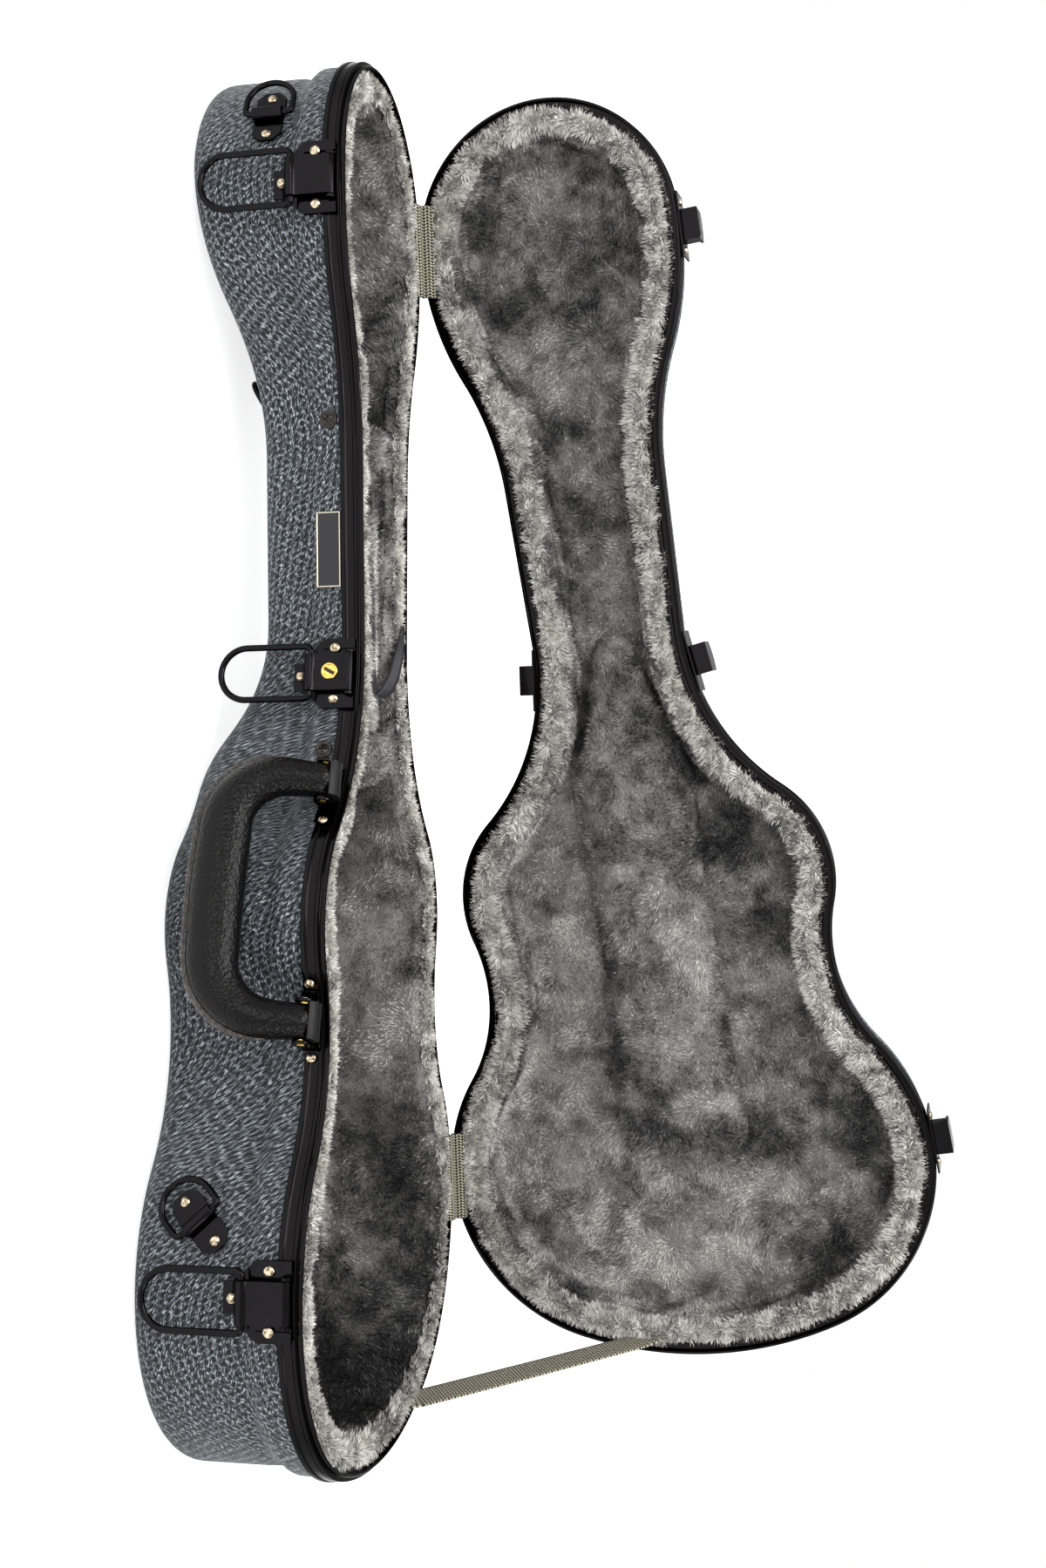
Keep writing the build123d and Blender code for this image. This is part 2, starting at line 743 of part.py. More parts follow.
def handle_grip():
    """D-shaped grip: straight legs, corners that swell into a barrel-shaped bar, a sewn seam"""
    plane = handle_plane()[0]
    near, far = handle_legs()
    bend, reach, leg, bar = grip_corner_radius, handle_reach, grip_leg_radius, grip_bar_radius
    half = [(near, -grip_end_rise, 0, leg)]
    for step in range(grip_steps + 1):
        turn = radians(90 * step / grip_steps)
        radius = leg + (grip_shoulder_radius - leg) * step / grip_steps
        half.append((near + bend * (1 - cos(turn)), reach - bend * (1 - sin(turn)), turn, radius))
    middle = (near + far) / 2
    row = half + [(middle, reach, radians(90), bar)]
    row += [(2 * middle - x, y, pi - turn, radius) for x, y, turn, radius in reversed(half)]
    rings = []
    for x, y, turn, radius in row:
        cut = Plane(origin=(x, y, 0), x_dir=(0, 0, 1), z_dir=(sin(turn), cos(turn), 0))
        rings.append(cut * RegularPolygon(radius, grip_flats))
    grip = loft(rings, ruled=True)
    low = reach + bar + seam_out
    side = reach - bend * seam_share
    start, end = near - leg + seam_thickness, far + leg - seam_thickness
    seam = make_face([ThreePointArc((start, side), (middle, low), (end, side)),
                      Line((end, side), (far, side)),
                      Polyline((far, side), (far - bend, reach), (near + bend, reach), (near, side)),
                      Line((near, side), (start, side))])
    grip += extrude(seam.moved(Location((0, 0, -seam_thickness / 2))), amount=seam_thickness)
    for x in (near, far):
        thick = clip_core / 2 + clip_gap
        wide = clip_core_width / 2 + clip_gap
        deep = clip_core_length - grip_end_rise + clip_gap
        grip -= block(x - wide, x + wide, -grip_end_rise - cut_past, deep, -thick, thick)
        grip -= rod((x - 2 * leg, 0, 0), (x + 2 * leg, 0, 0), handle_pin_radius + handle_pin_clearance)
    return plane * grip


def handle_end_clip(x):
    """Steel end of a handle leg: a rounded crown with a core inside the leather, on the pin"""
    plane = handle_plane()[0]
    leg = grip_leg_radius
    top = grip_end_rise + clip_gap
    crown = rod((x - leg, 0, 0), (x + leg, 0, 0), clip_crown)
    crown -= block(x - 2 * leg, x + 2 * leg, -top, 2 * clip_crown, -2 * leg, 2 * leg)
    core = block(x - clip_core_width / 2, x + clip_core_width / 2,
                 -top - cut_past, clip_core_length - grip_end_rise, -clip_core / 2, clip_core / 2)
    clip = crown + core
    clip -= rod((x - 2 * leg, 0, 0), (x + 2 * leg, 0, 0), handle_pin_radius + handle_pin_clearance)
    return plane * clip


def handle_ear_places(x):
    """Inner faces of the two ears beside a leg, along the handle's axis"""
    half = grip_leg_radius + bracket_ear_gap
    return x - half, x + half


def handle_pin(x):
    """Pin through the ears and the leg"""
    plane = handle_plane()[0]
    near, far = handle_ear_places(x)
    reach = bracket_ear_sheet + handle_pin_stub
    return plane * rod((near - reach, 0, 0), (far + reach, 0, 0), handle_pin_radius)


def handle_bracket(x, place):
    """Band along the rim with two ears that reach out to the handle's pin"""
    plane = handle_plane()[0]
    level = Plane(origin=plane.origin, x_dir=plane.x_dir, z_dir=(0, 0, 1))
    low = base_depth - handle_drop - bracket_height / 2
    high = low + bracket_height
    band = ring(-seat_gap - bracket_sheet, -seat_gap, low, high)
    half = bracket_reach / 2
    bracket = band & block(place - half, place + half, -head_reach, 0, low, high)
    near, far = handle_ear_places(x)
    deep = 2 * handle_out
    for start, end in ((near - bracket_ear_sheet, near), (far, far + bracket_ear_sheet)):
        ear = block(start, end, 0, deep, -bracket_height / 2, bracket_height / 2)
        ear += rod((start, 0, 0), (end, 0, 0), bracket_height / 2)
        bracket += level * ear
    bracket -= prism(-seat_gap, low - cut_past, high + cut_past)
    bore = handle_pin_radius + handle_pin_clearance
    return bracket - plane * rod((x - deep, 0, 0), (x + deep, 0, 0), bore)


def ring_plate():
    """Plate with a round loop across its middle, outward along Y"""
    half, wide = ring_plate_length / 2, ring_plate_width / 2
    plate = block(-half, half, 0, ring_plate_sheet, -wide, wide)
    plate = plate.chamfer(ring_plate_corner, None, plate.edges().filter_by(Axis.Y))
    plate += rod((0, loop_radius, -loop_width / 2), (0, loop_radius, loop_width / 2), loop_radius)
    bore = ring_wire_radius + ring_clearance
    return plate - rod((0, loop_radius, -ring_plate_length), (0, loop_radius, ring_plate_length), bore)


def strap_ring():
    """D-shaped ring with its straight bar in the loop and its bow towards +X"""
    half = ring_width / 2 - ring_wire_radius
    bend = 2 * ring_wire_radius
    straight = half - bend
    flat = [(straight, 0), (half, bend)] + bow(half, ring_reach - ring_wire_radius - half)
    flat += [(-half, bend), (-straight, 0)]
    bar = rod((0, loop_radius, -straight), (0, loop_radius, straight), ring_wire_radius)
    return wire([(drop, loop_radius, u) for u, drop in flat], ring_wire_radius) + bar


def head_ring_seat():
    """Level on the wall beside the head"""
    return on_edge(head_ring_place, -1, out=seat_gap - lower_inset, drop=head_ring_drop)


def tail_ring_seat():
    """On the wall of the lower bout, turned to hang towards the tail"""
    place = on_edge(tail_ring_place, -1, out=seat_gap - lower_inset, drop=tail_ring_drop)
    return place * Rot(0, tail_ring_turn, 0)


def back_ring_seat():
    """On the head-side slope of the arch: Y down from the surface, X towards the head"""
    slope = radians(slope_at(back_ring_place))
    down = Vector(sin(slope), 0, -cos(slope))
    bend = (arch_slope_length ** 2 + arch_rise ** 2) / (4 * arch_rise)
    hollow = (ring_plate_length / 2) ** 2 / (2 * bend)
    origin = Vector(back_ring_place, 0, floor_at(back_ring_place)) + down * (seat_gap + hollow)
    plane = Plane(origin=origin, x_dir=(-cos(slope), 0, -sin(slope)), z_dir=(0, -1, 0))
    return plane.location


def leaned_ring():
    """The back ring, swung off its slope"""
    axis = Axis((0, loop_radius, 0), (0, 0, 1))
    return back_ring_seat() * strap_ring().rotate(axis, back_ring_lean)


def hinge_block(reach_in, low, high, place):
    """Flat slab inward from the hinge line beside a webbing hinge"""
    axis = hinge_line()
    along = axis.direction
    half = webbing_width / 2
    plane = Plane(origin=axis.position, x_dir=along, z_dir=(0, 0, 1))
    start = (place - axis.position.X) / along.X
    depth = 2 * pad_outer_inset
    slab = block(start - half, start + half, -depth, -reach_in,
                 low - axis.position.Z, high - axis.position.Z)
    return plane * slab


def webbing_hinge(place):
    """Woven band from inside the base, over the tongue and down inside the lid"""
    inner = webbing_inset + webbing_thickness
    window = webbing_window(place, 0)
    over = base_depth + tongue_height + webbing_face_gap
    wall = ring(webbing_inset, inner, webbing_low, over + webbing_thickness) & window
    edge = hinge_out - webbing_thickness + webbing_face_gap
    top = hinge_block(edge, over, over + webbing_thickness, place)
    base_part = wall + (top - prism(inner, 0, 2 * base_depth))
    face = lid_base - webbing_face_gap
    sheet = hinge_block(tongue_height, face - webbing_thickness, face, place)
    rise = ring(webbing_inset, inner, face - webbing_thickness, lid_base + webbing_lid_depth) & window
    lid_part = opened(rise + (sheet - prism(inner, 0, 2 * base_depth)))
    return base_part + lid_part


def tail_point(y, inset):
    """Point on the tail end at height y across, moved in from the outline"""
    tail = half_outline(inset)[-1]
    x = tail.centre[0] + sqrt(tail.radius ** 2 - (y - tail.centre[1]) ** 2)
    way = Vector(-(y - tail.centre[1]), x - tail.centre[0], 0).normalized()
    return Vector(x, y, 0), way


def stay_strap():
    """Flat band from inside the base's tail end to inside the lid, twisting on its way"""
    low, low_way = tail_point(stay_base_y, stay_inset)
    high, high_way = tail_point(stay_lid_y, stay_inset)
    axis = hinge_line()
    sections = [(low + Vector(0, 0, base_depth - stay_tail), low_way, Vector(0, 0, 1)),
                (low + Vector(0, 0, base_depth + stay_rise), low_way, Vector(0, 0, 1))]
    lid = [(high + Vector(0, 0, lid_base - stay_rise), high_way, Vector(0, 0, 1)),
           (high + Vector(0, 0, lid_base + stay_tail), high_way, Vector(0, 0, 1))]
    for point, way, run in lid:
        turned = Location(axis.position) * axis_turn(-lid_open) * Location(-axis.position)
        spot = (turned * Location(point)).position
        sections.append((spot, turn_way(way), turn_way(run)))
    run = (sections[2][0] - sections[1][0]).normalized()
    faces = []
    for number, (point, way, along) in enumerate(sections):
        direction = run if number in (1, 2) else along
        across = (way - direction * way.dot(direction)).normalized()
        plane = Plane(origin=point, x_dir=across, z_dir=direction)
        faces.append(plane * Rectangle(stay_width, stay_thickness))
    band = loft([faces[1], faces[2]], ruled=True)
    foot = loft([faces[0], faces[1]], ruled=True)
    head = loft([faces[2], faces[3]], ruled=True)
    return band + foot + head


def axis_turn(angle):
    """Turn about the direction of the lid's hinge"""
    frame = Plane(origin=(0, 0, 0), x_dir=hinge_line().direction, z_dir=(0, 0, 1)).location
    return frame * Rot(angle, 0, 0) * frame.inverse()


def turn_way(way):
    """Direction on the closed lid, turned to the open lid"""
    return (axis_turn(-lid_open) * Location(way)).position


lid_inner_top = lid_base + lid_depth - lid_top
lid_pad_bottom = lid_inner_top - pad_clearance - lid_pad


def lid_top_padding():
    return opened(prism(pad_outer_inset, lid_pad_bottom, lid_pad_bottom + lid_pad))


def lid_side_padding():
    low, high = lid_base + pad_below_rim, lid_pad_bottom - pad_clearance
    return opened(ring(pad_outer_inset, pad_inner_inset, low, high))


def lid_bolster():
    """Long cushion over the soundboard, narrow and round at the neck, square at the tail"""
    start, end, half = bolster_start, bolster_end, bolster_half_width
    tip, corner = bolster_tip, bolster_corner
    middle = (start + end) / 2
    knee = corner * (1 - sqrt(0.5))
    edges = [ThreePointArc((start + tip, tip), (start, 0), (start + tip, -tip))]
    for mirror in (1, -1):
        flare = (start + tip + bolster_flare, mirror * half)
        square = (end - corner, mirror * half)
        edges += [Line((start + tip, mirror * tip), flare),
                  ThreePointArc(flare, (middle, mirror * (half - bolster_waist)), square),
                  ThreePointArc(square, (end - knee, mirror * (half - knee)), (end, mirror * (half - corner)))]
    edges.append(Line((end, half - corner), (end, corner - half)))
    high = lid_pad_bottom - bolster_clearance
    low = high - bolster_height
    form = extrude(make_face(edges).moved(Location((0, 0, low))), amount=bolster_height)
    form &= prism(pad_inner_inset + bolster_side_gap, low, high)
    form = form.chamfer(bolster_edge, None, form.faces().sort_by(Axis.Z)[0].edges())
    return opened(form)


def compartment_lid():
    """Padded flap over the compartment, hinged along its far top edge"""
    start, end, half = compartment_span()
    return block(start, end, -half, half, compartment_bottom, compartment_top)


def pull_tab():
    """Ribbon sewn to the front edge of the flap, lying across it and hanging over the edge"""
    half = compartment_span()[2]
    front = -half - tab_thickness
    top = compartment_top + pad_clearance
    near, far = tab_place - tab_width / 2, tab_place + tab_width / 2
    return block(near, far, front + tab_thickness, tab_length - half, top, top + tab_thickness)


def build():
    """Every piece by name"""
    latches = {"head": (latch_head, -1), "middle": (latch_middle, -1), "lower": (latch_lower, -1),
               "back": (latch_back, 1)}
    parts = {
        "base_shell": base_shell(),
        "base_rim": base_rim(),
        "base_floor_padding": base_floor_padding(),
        "base_side_padding": base_side_padding(),
        "head_neck_block": neck_block(head_block_start, head_block_end, head_block_nose),
        "body_neck_block": neck_block(body_block_start, body_block_end, body_block_nose),
        "badge_plate": badge_plate(),
        "lock_plug": lock_plug(),
        "handle_grip": handle_grip(),
        "handle_end_clips": Compound([handle_end_clip(x) for x in handle_legs()]),
        "handle_pins": Compound([handle_pin(x) for x in handle_legs()]),
        "handle_bracket_head": handle_bracket(handle_legs()[0], bracket_head),
        "handle_bracket_tail": handle_bracket(handle_legs()[1], bracket_tail),
        "strap_ring_plate_head": head_ring_seat() * ring_plate(),
        "strap_ring_plate_tail": tail_ring_seat() * ring_plate(),
        "strap_ring_plate_back": back_ring_seat() * ring_plate(),
        "strap_ring_head": head_ring_seat() * strap_ring(),
        "strap_ring_tail": tail_ring_seat() * strap_ring(),
        "strap_ring_back": leaned_ring(),
        "webbing_hinge_head": webbing_hinge(webbing_head),
        "webbing_hinge_tail": webbing_hinge(webbing_tail),
        "stay_strap": stay_strap(),
        "lid_shell": opened(lid_shell()),
        "lid_rim": opened(lid_rim()),
        "lid_top_padding": lid_top_padding(),
        "lid_side_padding": lid_side_padding(),
        "lid_bolster": lid_bolster(),
        "compartment_lid": compartment_lid(),
        "pull_tab": pull_tab(),
    }
    for name, (x, side) in latches.items():
        parts["latch_plate_" + name] = latch_plate(x, side)
        parts["latch_lever_" + name] = latch_lever(x, side, name == "middle")
        parts["latch_bail_" + name] = latch_bail(x, side)
        parts["strike_" + name] = strike(x, side)
    return parts


os.makedirs("parts", exist_ok=True)
for name, piece in build().items():
    export_step(piece, "parts/" + name + ".step")
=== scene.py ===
import json
import math
import bmesh
import bpy
import numpy as np
from mathutils import Matrix, Vector


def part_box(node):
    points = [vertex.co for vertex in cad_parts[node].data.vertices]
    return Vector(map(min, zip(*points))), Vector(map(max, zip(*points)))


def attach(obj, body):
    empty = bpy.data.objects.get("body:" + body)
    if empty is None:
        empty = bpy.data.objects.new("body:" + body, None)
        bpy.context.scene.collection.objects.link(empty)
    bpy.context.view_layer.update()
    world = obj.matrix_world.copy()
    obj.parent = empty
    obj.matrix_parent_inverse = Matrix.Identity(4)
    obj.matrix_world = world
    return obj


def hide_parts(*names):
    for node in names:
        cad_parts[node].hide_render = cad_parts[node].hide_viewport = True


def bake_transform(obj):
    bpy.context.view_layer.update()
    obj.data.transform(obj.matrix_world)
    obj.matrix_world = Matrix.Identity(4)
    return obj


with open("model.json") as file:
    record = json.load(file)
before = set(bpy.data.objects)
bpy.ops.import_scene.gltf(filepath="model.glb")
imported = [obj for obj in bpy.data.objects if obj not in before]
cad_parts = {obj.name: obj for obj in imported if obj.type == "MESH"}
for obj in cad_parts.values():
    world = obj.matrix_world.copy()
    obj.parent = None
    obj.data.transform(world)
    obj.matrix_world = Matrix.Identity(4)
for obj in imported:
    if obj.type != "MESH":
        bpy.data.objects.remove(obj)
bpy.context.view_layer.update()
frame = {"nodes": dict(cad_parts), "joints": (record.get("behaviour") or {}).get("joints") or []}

MM = 0.001
BASE_TOP = 80.0
LID_BASE = 80.4
LID_OPEN = 86.0


# Helpers: colours and nodes

def linear(code):
    """An sRGB hex colour as linear RGBA.

    c / 12.92 up to 0.04045, else ((c + 0.055) / 1.055) ** 2.4."""
    parts = [int(code[i:i + 2], 16) / 255 for i in (1, 3, 5)]
    curve = [c / 12.92 if c <= 0.04045 else ((c + 0.055) / 1.055) ** 2.4 for c in parts]
    return (*curve, 1.0)


def put(mat, kind, inputs=(), out=0, **props):
    """Adds a shader node, fills its inputs with values or other outputs, returns an output."""
    node = mat.node_tree.nodes.new("ShaderNode" + kind)
    for key, value in props.items():
        setattr(node, key, value)
    for key, value in dict(inputs).items():
        if isinstance(value, bpy.types.NodeSocket):
            mat.node_tree.links.new(value, node.inputs[key])
        else:
            node.inputs[key].default_value = value
    return node.outputs[out]


def calc(mat, operation, a, b=0.0, c=0.0):
    return put(mat, "Math", {0: a, 1: b, 2: c}, operation=operation)


def mix(mat, factor, a, b):
    return put(mat, "Mix", {0: factor, 6: a, 7: b}, out=2, data_type="RGBA")


def band(mat, value, low, high, start=0.0, end=1.0):
    """Smooth step of value from start at low to end at high."""
    inputs = {"Value": value, "From Min": low, "From Max": high, "To Min": start, "To Max": end}
    return put(mat, "MapRange", inputs, interpolation_type="SMOOTHSTEP")


def noise(mat, vector, size, detail=2.0, rough=0.5, stretch=None):
    """Noise from 0 to 1 with features of size millimetres; vector is in metres."""
    if stretch:
        vector = put(mat, "VectorMath", {0: vector, 1: stretch}, operation="MULTIPLY")
    inputs = {"Vector": vector, "Scale": 1000.0 / size, "Detail": detail, "Roughness": rough}
    return put(mat, "TexNoise", inputs)


def bump(mat, height, depth, strength):
    """Normal from a height of 0 to 1 that stands for depth millimetres."""
    return put(mat, "Bump", {"Height": height, "Distance": depth * MM, "Strength": strength})


def material(name):
    """A new material with an empty node tree"""
    mat = bpy.data.materials.new(name)
    mat.use_nodes = True
    mat.node_tree.nodes.clear()
    return mat


def textured(name):
    """A new material and its coordinates on the object, in metres."""
    mat = material(name)
    return mat, put(mat, "TexCoord", out="Object")


def surface_of(mat, inputs):
    """Closes a material with a principled shader that has these inputs."""
    shader = put(mat, "BsdfPrincipled", inputs)
    node = mat.node_tree.nodes.new("ShaderNodeOutputMaterial")
    mat.node_tree.links.new(shader, node.inputs["Surface"])
    return mat


def mottled(name, size, dark, pale, rough, detail=3.0, relief=None, grain=None, **metal):
    """Material from dark to pale by noise with features of size mm.

    rough is a value, or its start and what the noise adds to it. relief is a bump's depth in
    mm and its strength, on the same noise or on one of grain mm. metal holds further sockets,
    with an underscore for each space in their names."""
    mat, spot = textured(name)
    patch = noise(mat, spot, size, detail)
    inputs = {key.replace("_", " "): value for key, value in metal.items()}
    inputs["Base Color"] = mix(mat, patch, linear(dark), linear(pale))
    inputs["Roughness"] = rough
    if isinstance(rough, tuple):
        inputs["Roughness"] = calc(mat, "MULTIPLY_ADD", patch, rough[1], rough[0])
    if relief:
        inputs["Normal"] = bump(mat, noise(mat, spot, grain) if grain else patch, *relief)
    return surface_of(mat, inputs)


# Helpers: shapes

def joint(name):
    return next(j for j in frame["joints"] if j["name"] == name)


def walk_outline(step):
    """Half outline from the head end to the tail, in mm: points, outward normals, length.

    Nine arcs and one line, tangent: p(a) = c + r (sin a, -cos a), heading a from 90 to -90
    degrees. Each row of the walk is a radius and a turn, or 0 and the line's length; the last
    arc ends on the centre line, which sets its radius."""
    walk = [(73.7, -85.8), (160.0, -28.2), (171.0, 22.5), (0.0, 90.3), (121.3, 50.7),
            (64.5, -66.9), (87.8, 55.4), (101.5, -106.9), (None, None)]
    x, y, heading, rows, along = -540.0, 0.0, 90.0, [], 0.0
    for radius, turn in walk:
        way = math.radians(heading)
        if radius is None:
            radius, turn = y / math.cos(way), -(heading + 90.0)
        straight = radius == 0.0
        length = turn if straight else radius * math.radians(abs(turn))
        side = math.copysign(1, turn)

        def at(part):
            if straight:
                return x + turn * part * math.cos(way), y + turn * part * math.sin(way), way
            angle = way + math.radians(turn) * part
            return (x + side * radius * (math.sin(angle) - math.sin(way)),
                    y - side * radius * (math.cos(angle) - math.cos(way)), angle)

        count = max(2, math.ceil(length / step))
        rows += [(*at(i / count), along + length * i / count) for i in range(count)]
        x, y, _ = at(1.0)
        heading += 0.0 if straight else turn
        along += length
    rows.append((x, 0.0, -math.pi / 2, along))
    r = np.array(rows)
    return r[:, :2], np.stack([-np.sin(r[:, 2]), np.cos(r[:, 2])], 1), r[:, 3]


def floor_at(x):
    """Height of the underside at x, in mm.

    An S-curve of two arcs, run long, up to the crown; then an arc of the crown's radius and
    one of the foot's radius down to the ground, both over the same turn."""
    rise, run, start, crown, foot = 28.0, 150.0, -482.5, 100.0, 50.0
    middle, turn = -248.5, math.radians(32.0)
    bend = (run ** 2 + rise ** 2) / (4 * rise)
    s = np.linspace(0, run, 61)
    low = bend - np.sqrt(bend ** 2 - s ** 2)
    high = rise - bend + np.sqrt(bend ** 2 - (run - s) ** 2)
    a = np.linspace(0, turn, 16)
    b = np.linspace(turn, 0, 12)
    crown_x, crown_z = middle + crown * np.sin(a), rise - crown * (1 - np.cos(a))
    line = (crown_z[-1] - foot * (1 - math.cos(turn))) / math.tan(turn)
    end = crown_x[-1] + line + foot * math.sin(turn)
    xs = np.concatenate([start + s, crown_x, end - foot * np.sin(b)])
    zs = np.concatenate([np.where(s < run / 2, low, high), crown_z, foot * (1 - np.cos(b))])
    return np.interp(x, xs, zs)


def welded(mesh):
    """Merges points of a mesh that lie within a micrometre of each other."""
    bm = bmesh.new()
    bm.from_mesh(mesh)
    bmesh.ops.remove_doubles(bm, verts=bm.verts, dist=1e-6)
    bm.to_mesh(mesh)
    bm.free()
    return mesh


def surface(name, grid, closed=(False, False), uv=None, weld=False, flip=False):
    """Mesh object of quads over a grid of points (rows, columns, 3) and of uv, both in mm."""
    rows, cols = grid.shape[:2]
    r = np.arange(rows if closed[0] else rows - 1)[:, None]
    c = np.arange(cols if closed[1] else cols - 1)[None, :]
    r1, c1 = (r + 1) % rows, (c + 1) % cols
    corners = [(r, c), (r, c1), (r1, c1), (r1, c)]
    quads = np.stack([(a * cols + b) + 0 * (r + c) for a, b in corners], -1).reshape(-1, 4)
    if flip:
        quads = quads[:, ::-1]
    mesh = bpy.data.meshes.new(name)
    mesh.from_pydata((grid.reshape(-1, 3) * MM).tolist(), [], quads.tolist())
    if uv is not None:
        layer = mesh.uv_layers.new(name="weave")
        u = uv.reshape(-1, 2)[quads.reshape(-1)] * MM
        layer.data.foreach_set("uv", u.astype(np.float32).ravel())
    return place(name, welded(mesh) if weld else mesh)


def triangles(name, points, tris, slots=None):
    """Mesh object of triangles; points in mm, slots holds each triangle's material index."""
    mesh = bpy.data.meshes.new(name)
    mesh.vertices.add(len(points))
    mesh.vertices.foreach_set("co", (points * MM).astype(np.float32).ravel())
    mesh.loops.add(len(tris) * 3)
    mesh.loops.foreach_set("vertex_index", tris.astype(np.int32).ravel())
    mesh.polygons.add(len(tris))
    mesh.polygons.foreach_set("loop_start", np.arange(0, len(tris) * 3, 3, dtype=np.int32))
    mesh.update(calc_edges=True)
    if slots is not None:
        mesh.polygons.foreach_set("material_index", slots.astype(np.int32))
    return place(name, mesh)


def linked(name, data):
    obj = bpy.data.objects.new(name, data)
    bpy.context.scene.collection.objects.link(obj)
    return obj


def place(name, mesh):
    """Object of a mesh, shaded smooth, in the scene."""
    mesh.polygons.foreach_set("use_smooth", [True] * len(mesh.polygons))
    return linked(name, mesh)


def sharpen(obj, angle=35.0):
    """Marks edges over an angle in degrees as sharp."""
    obj.data.set_sharp_from_angle(angle=math.radians(angle))
    return obj


def dress(obj, mat):
    obj.data.materials.clear()
    obj.data.materials.append(mat)
    return obj


def thicken(obj, depth, offset=-1.0):
    """Thickness of a sheet in mm; offset 0 lays it evenly on both sides."""
    thick = obj.modifiers.new("thickness", "SOLIDIFY")
    thick.thickness, thick.offset = depth * MM, offset


def loop(step):
    """Closed outline: the half walk and its mirror, with the length along it signed by side."""
    p, n, u = walk_outline(step)
    flip = np.array([1, -1])
    return (np.concatenate([p, (p * flip)[-2:0:-1]]), np.concatenate([n, (n * flip)[-2:0:-1]]),
            np.concatenate([u, 2 * u[-1] - u[-2:0:-1]]))


def inset_row(p, n, inset, z):
    """The outline moved in by inset at height z: p - inset n."""
    q = p - n * np.asarray(inset).reshape(-1, 1)
    return np.column_stack([q, np.broadcast_to(z, len(q))])


def across(rows, count):
    """Grid of one side's rows, count rows over the middle and the other side's, mirrored.

    A row over the middle is the last of the side with its y times k, k from 1 to -1."""
    t = np.linspace(1, -1, count + 2)[1:-1]
    middle = np.stack([rows[-1] * [1, k, 1] for k in t])
    return np.concatenate([rows, middle, rows[::-1] * [1, -1, 1]]).transpose(1, 0, 2)


def across_uv(u, v, edge_y, count):
    """Weave coordinates of such a grid: u along the outline, v on down the side and across.

    Over the middle v = v1 + (1 - k) y, and on the other side 2 v1 + 2 y - v."""
    t = np.linspace(1, -1, count + 2)[1:-1]
    run = np.concatenate([v, v[-1] + (1 - t)[:, None] * edge_y, v[-1] * 2 + 2 * edge_y - v[::-1]])
    return np.stack([np.broadcast_to(u, run.shape), run], -1).transpose(1, 0, 2)


def corner_of(radius, steps):
    """Points of a quarter round after its start: how far in, and how far on, for each."""
    a = np.radians(np.linspace(0, 90, steps)[1:])
    return list(zip(radius * (1 - np.cos(a)), radius * np.sin(a)))


def length_along(points):
    return np.concatenate([[0], np.cumsum(np.linalg.norm(np.diff(points, axis=0), axis=1))])


def hinge_turn(angle):
    """Turn of the lid about its hinge as a 4x4 matrix in mm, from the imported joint."""
    hinge = joint("lid_hinge")
    spot, way = Vector(hinge["pos_m"]) / MM, Vector(hinge["axis"])
    turn = Matrix.Rotation(math.radians(angle), 4, way)
    return Matrix.Translation(spot) @ turn @ Matrix.Translation(-spot)


def moved(points, matrix):
    """Array of points, of any shape (..., 3), through a 4x4 matrix."""
    m = np.array(matrix)
    return points @ m[:3, :3].T + m[:3, 3]


def opened(points):
    """Points drawn on the closed lid, in mm, turned to where the lid stands open."""
    return moved(points, hinge_turn(-LID_OPEN))


def lattice(points, size, seed):
    """Smooth value noise from -1 to 1: hashed corner values blended by t t (3 - 2 t)."""
    q = points / size + seed * 17.31
    base = np.floor(q).astype(np.int64)
    t = q - base
    t = t * t * (3 - 2 * t)
    total = np.zeros(len(q))
    for corner in range(8):
        step = np.array([corner & 1, corner >> 1 & 1, corner >> 2 & 1])
        k = base + step
        mixed = (k[:, 0] * 73856093) ^ (k[:, 1] * 19349663) ^ (k[:, 2] * 83492791)
        mixed ^= seed * 2654435761
        mixed = (mixed ^ (mixed >> 13)) * 1274126177 & 0xFFFFFFFF
        value = ((mixed ^ (mixed >> 16)) & 0xFFFF) / 32767.5 - 1
        total += value * np.prod(np.where(step, t, 1 - t), axis=1)
    return total


def read(items, key, kind=np.float32):
    """Threes of a mesh's vertices, normals, faces or triangles as an array."""
    out = np.empty(len(items) * 3, kind)
    items.foreach_get(key, out)
    return out.reshape(-1, 3).astype(float)


def normals_of(obj):
    return read(obj.data.vertex_normals, "vector")


def points_of(obj):
    return read(obj.data.vertices, "co") / MM


def move_to(obj, points):
    obj.data.vertices.foreach_set("co", (points * MM).astype(np.float32).ravel())


def nap(obj, heights):
    """Moves a surface along its normals by noise; heights lists size, amount and seed."""
    p, n = points_of(obj), normals_of(obj)
    lift = sum(amount * lattice(p, size, seed) for size, amount, seed in heights)
    move_to(obj, p + n * lift[:, None])
    obj.data.update()
    return obj


def wall(x, side, out=0.0, drop=0.0, turn=0.0):
    """4x4 place on the wall in mm: local Y straight out, Z up, zero height at the rim."""
    p, n, _ = walk_outline(1.0)
    y = np.interp(x, p[:, 0], p[:, 1])
    nx, ny = np.interp(x, p[:, 0], n[:, 0]), side * np.interp(x, p[:, 0], n[:, 1])
    spot = Vector((x + nx * out, side * y + ny * out, BASE_TOP - drop))
    spin = Matrix.Rotation(math.atan2(ny, nx) - math.pi / 2, 4, "Z")
    return Matrix.Translation(spot) @ spin @ Matrix.Rotation(math.radians(turn), 4, "Y")


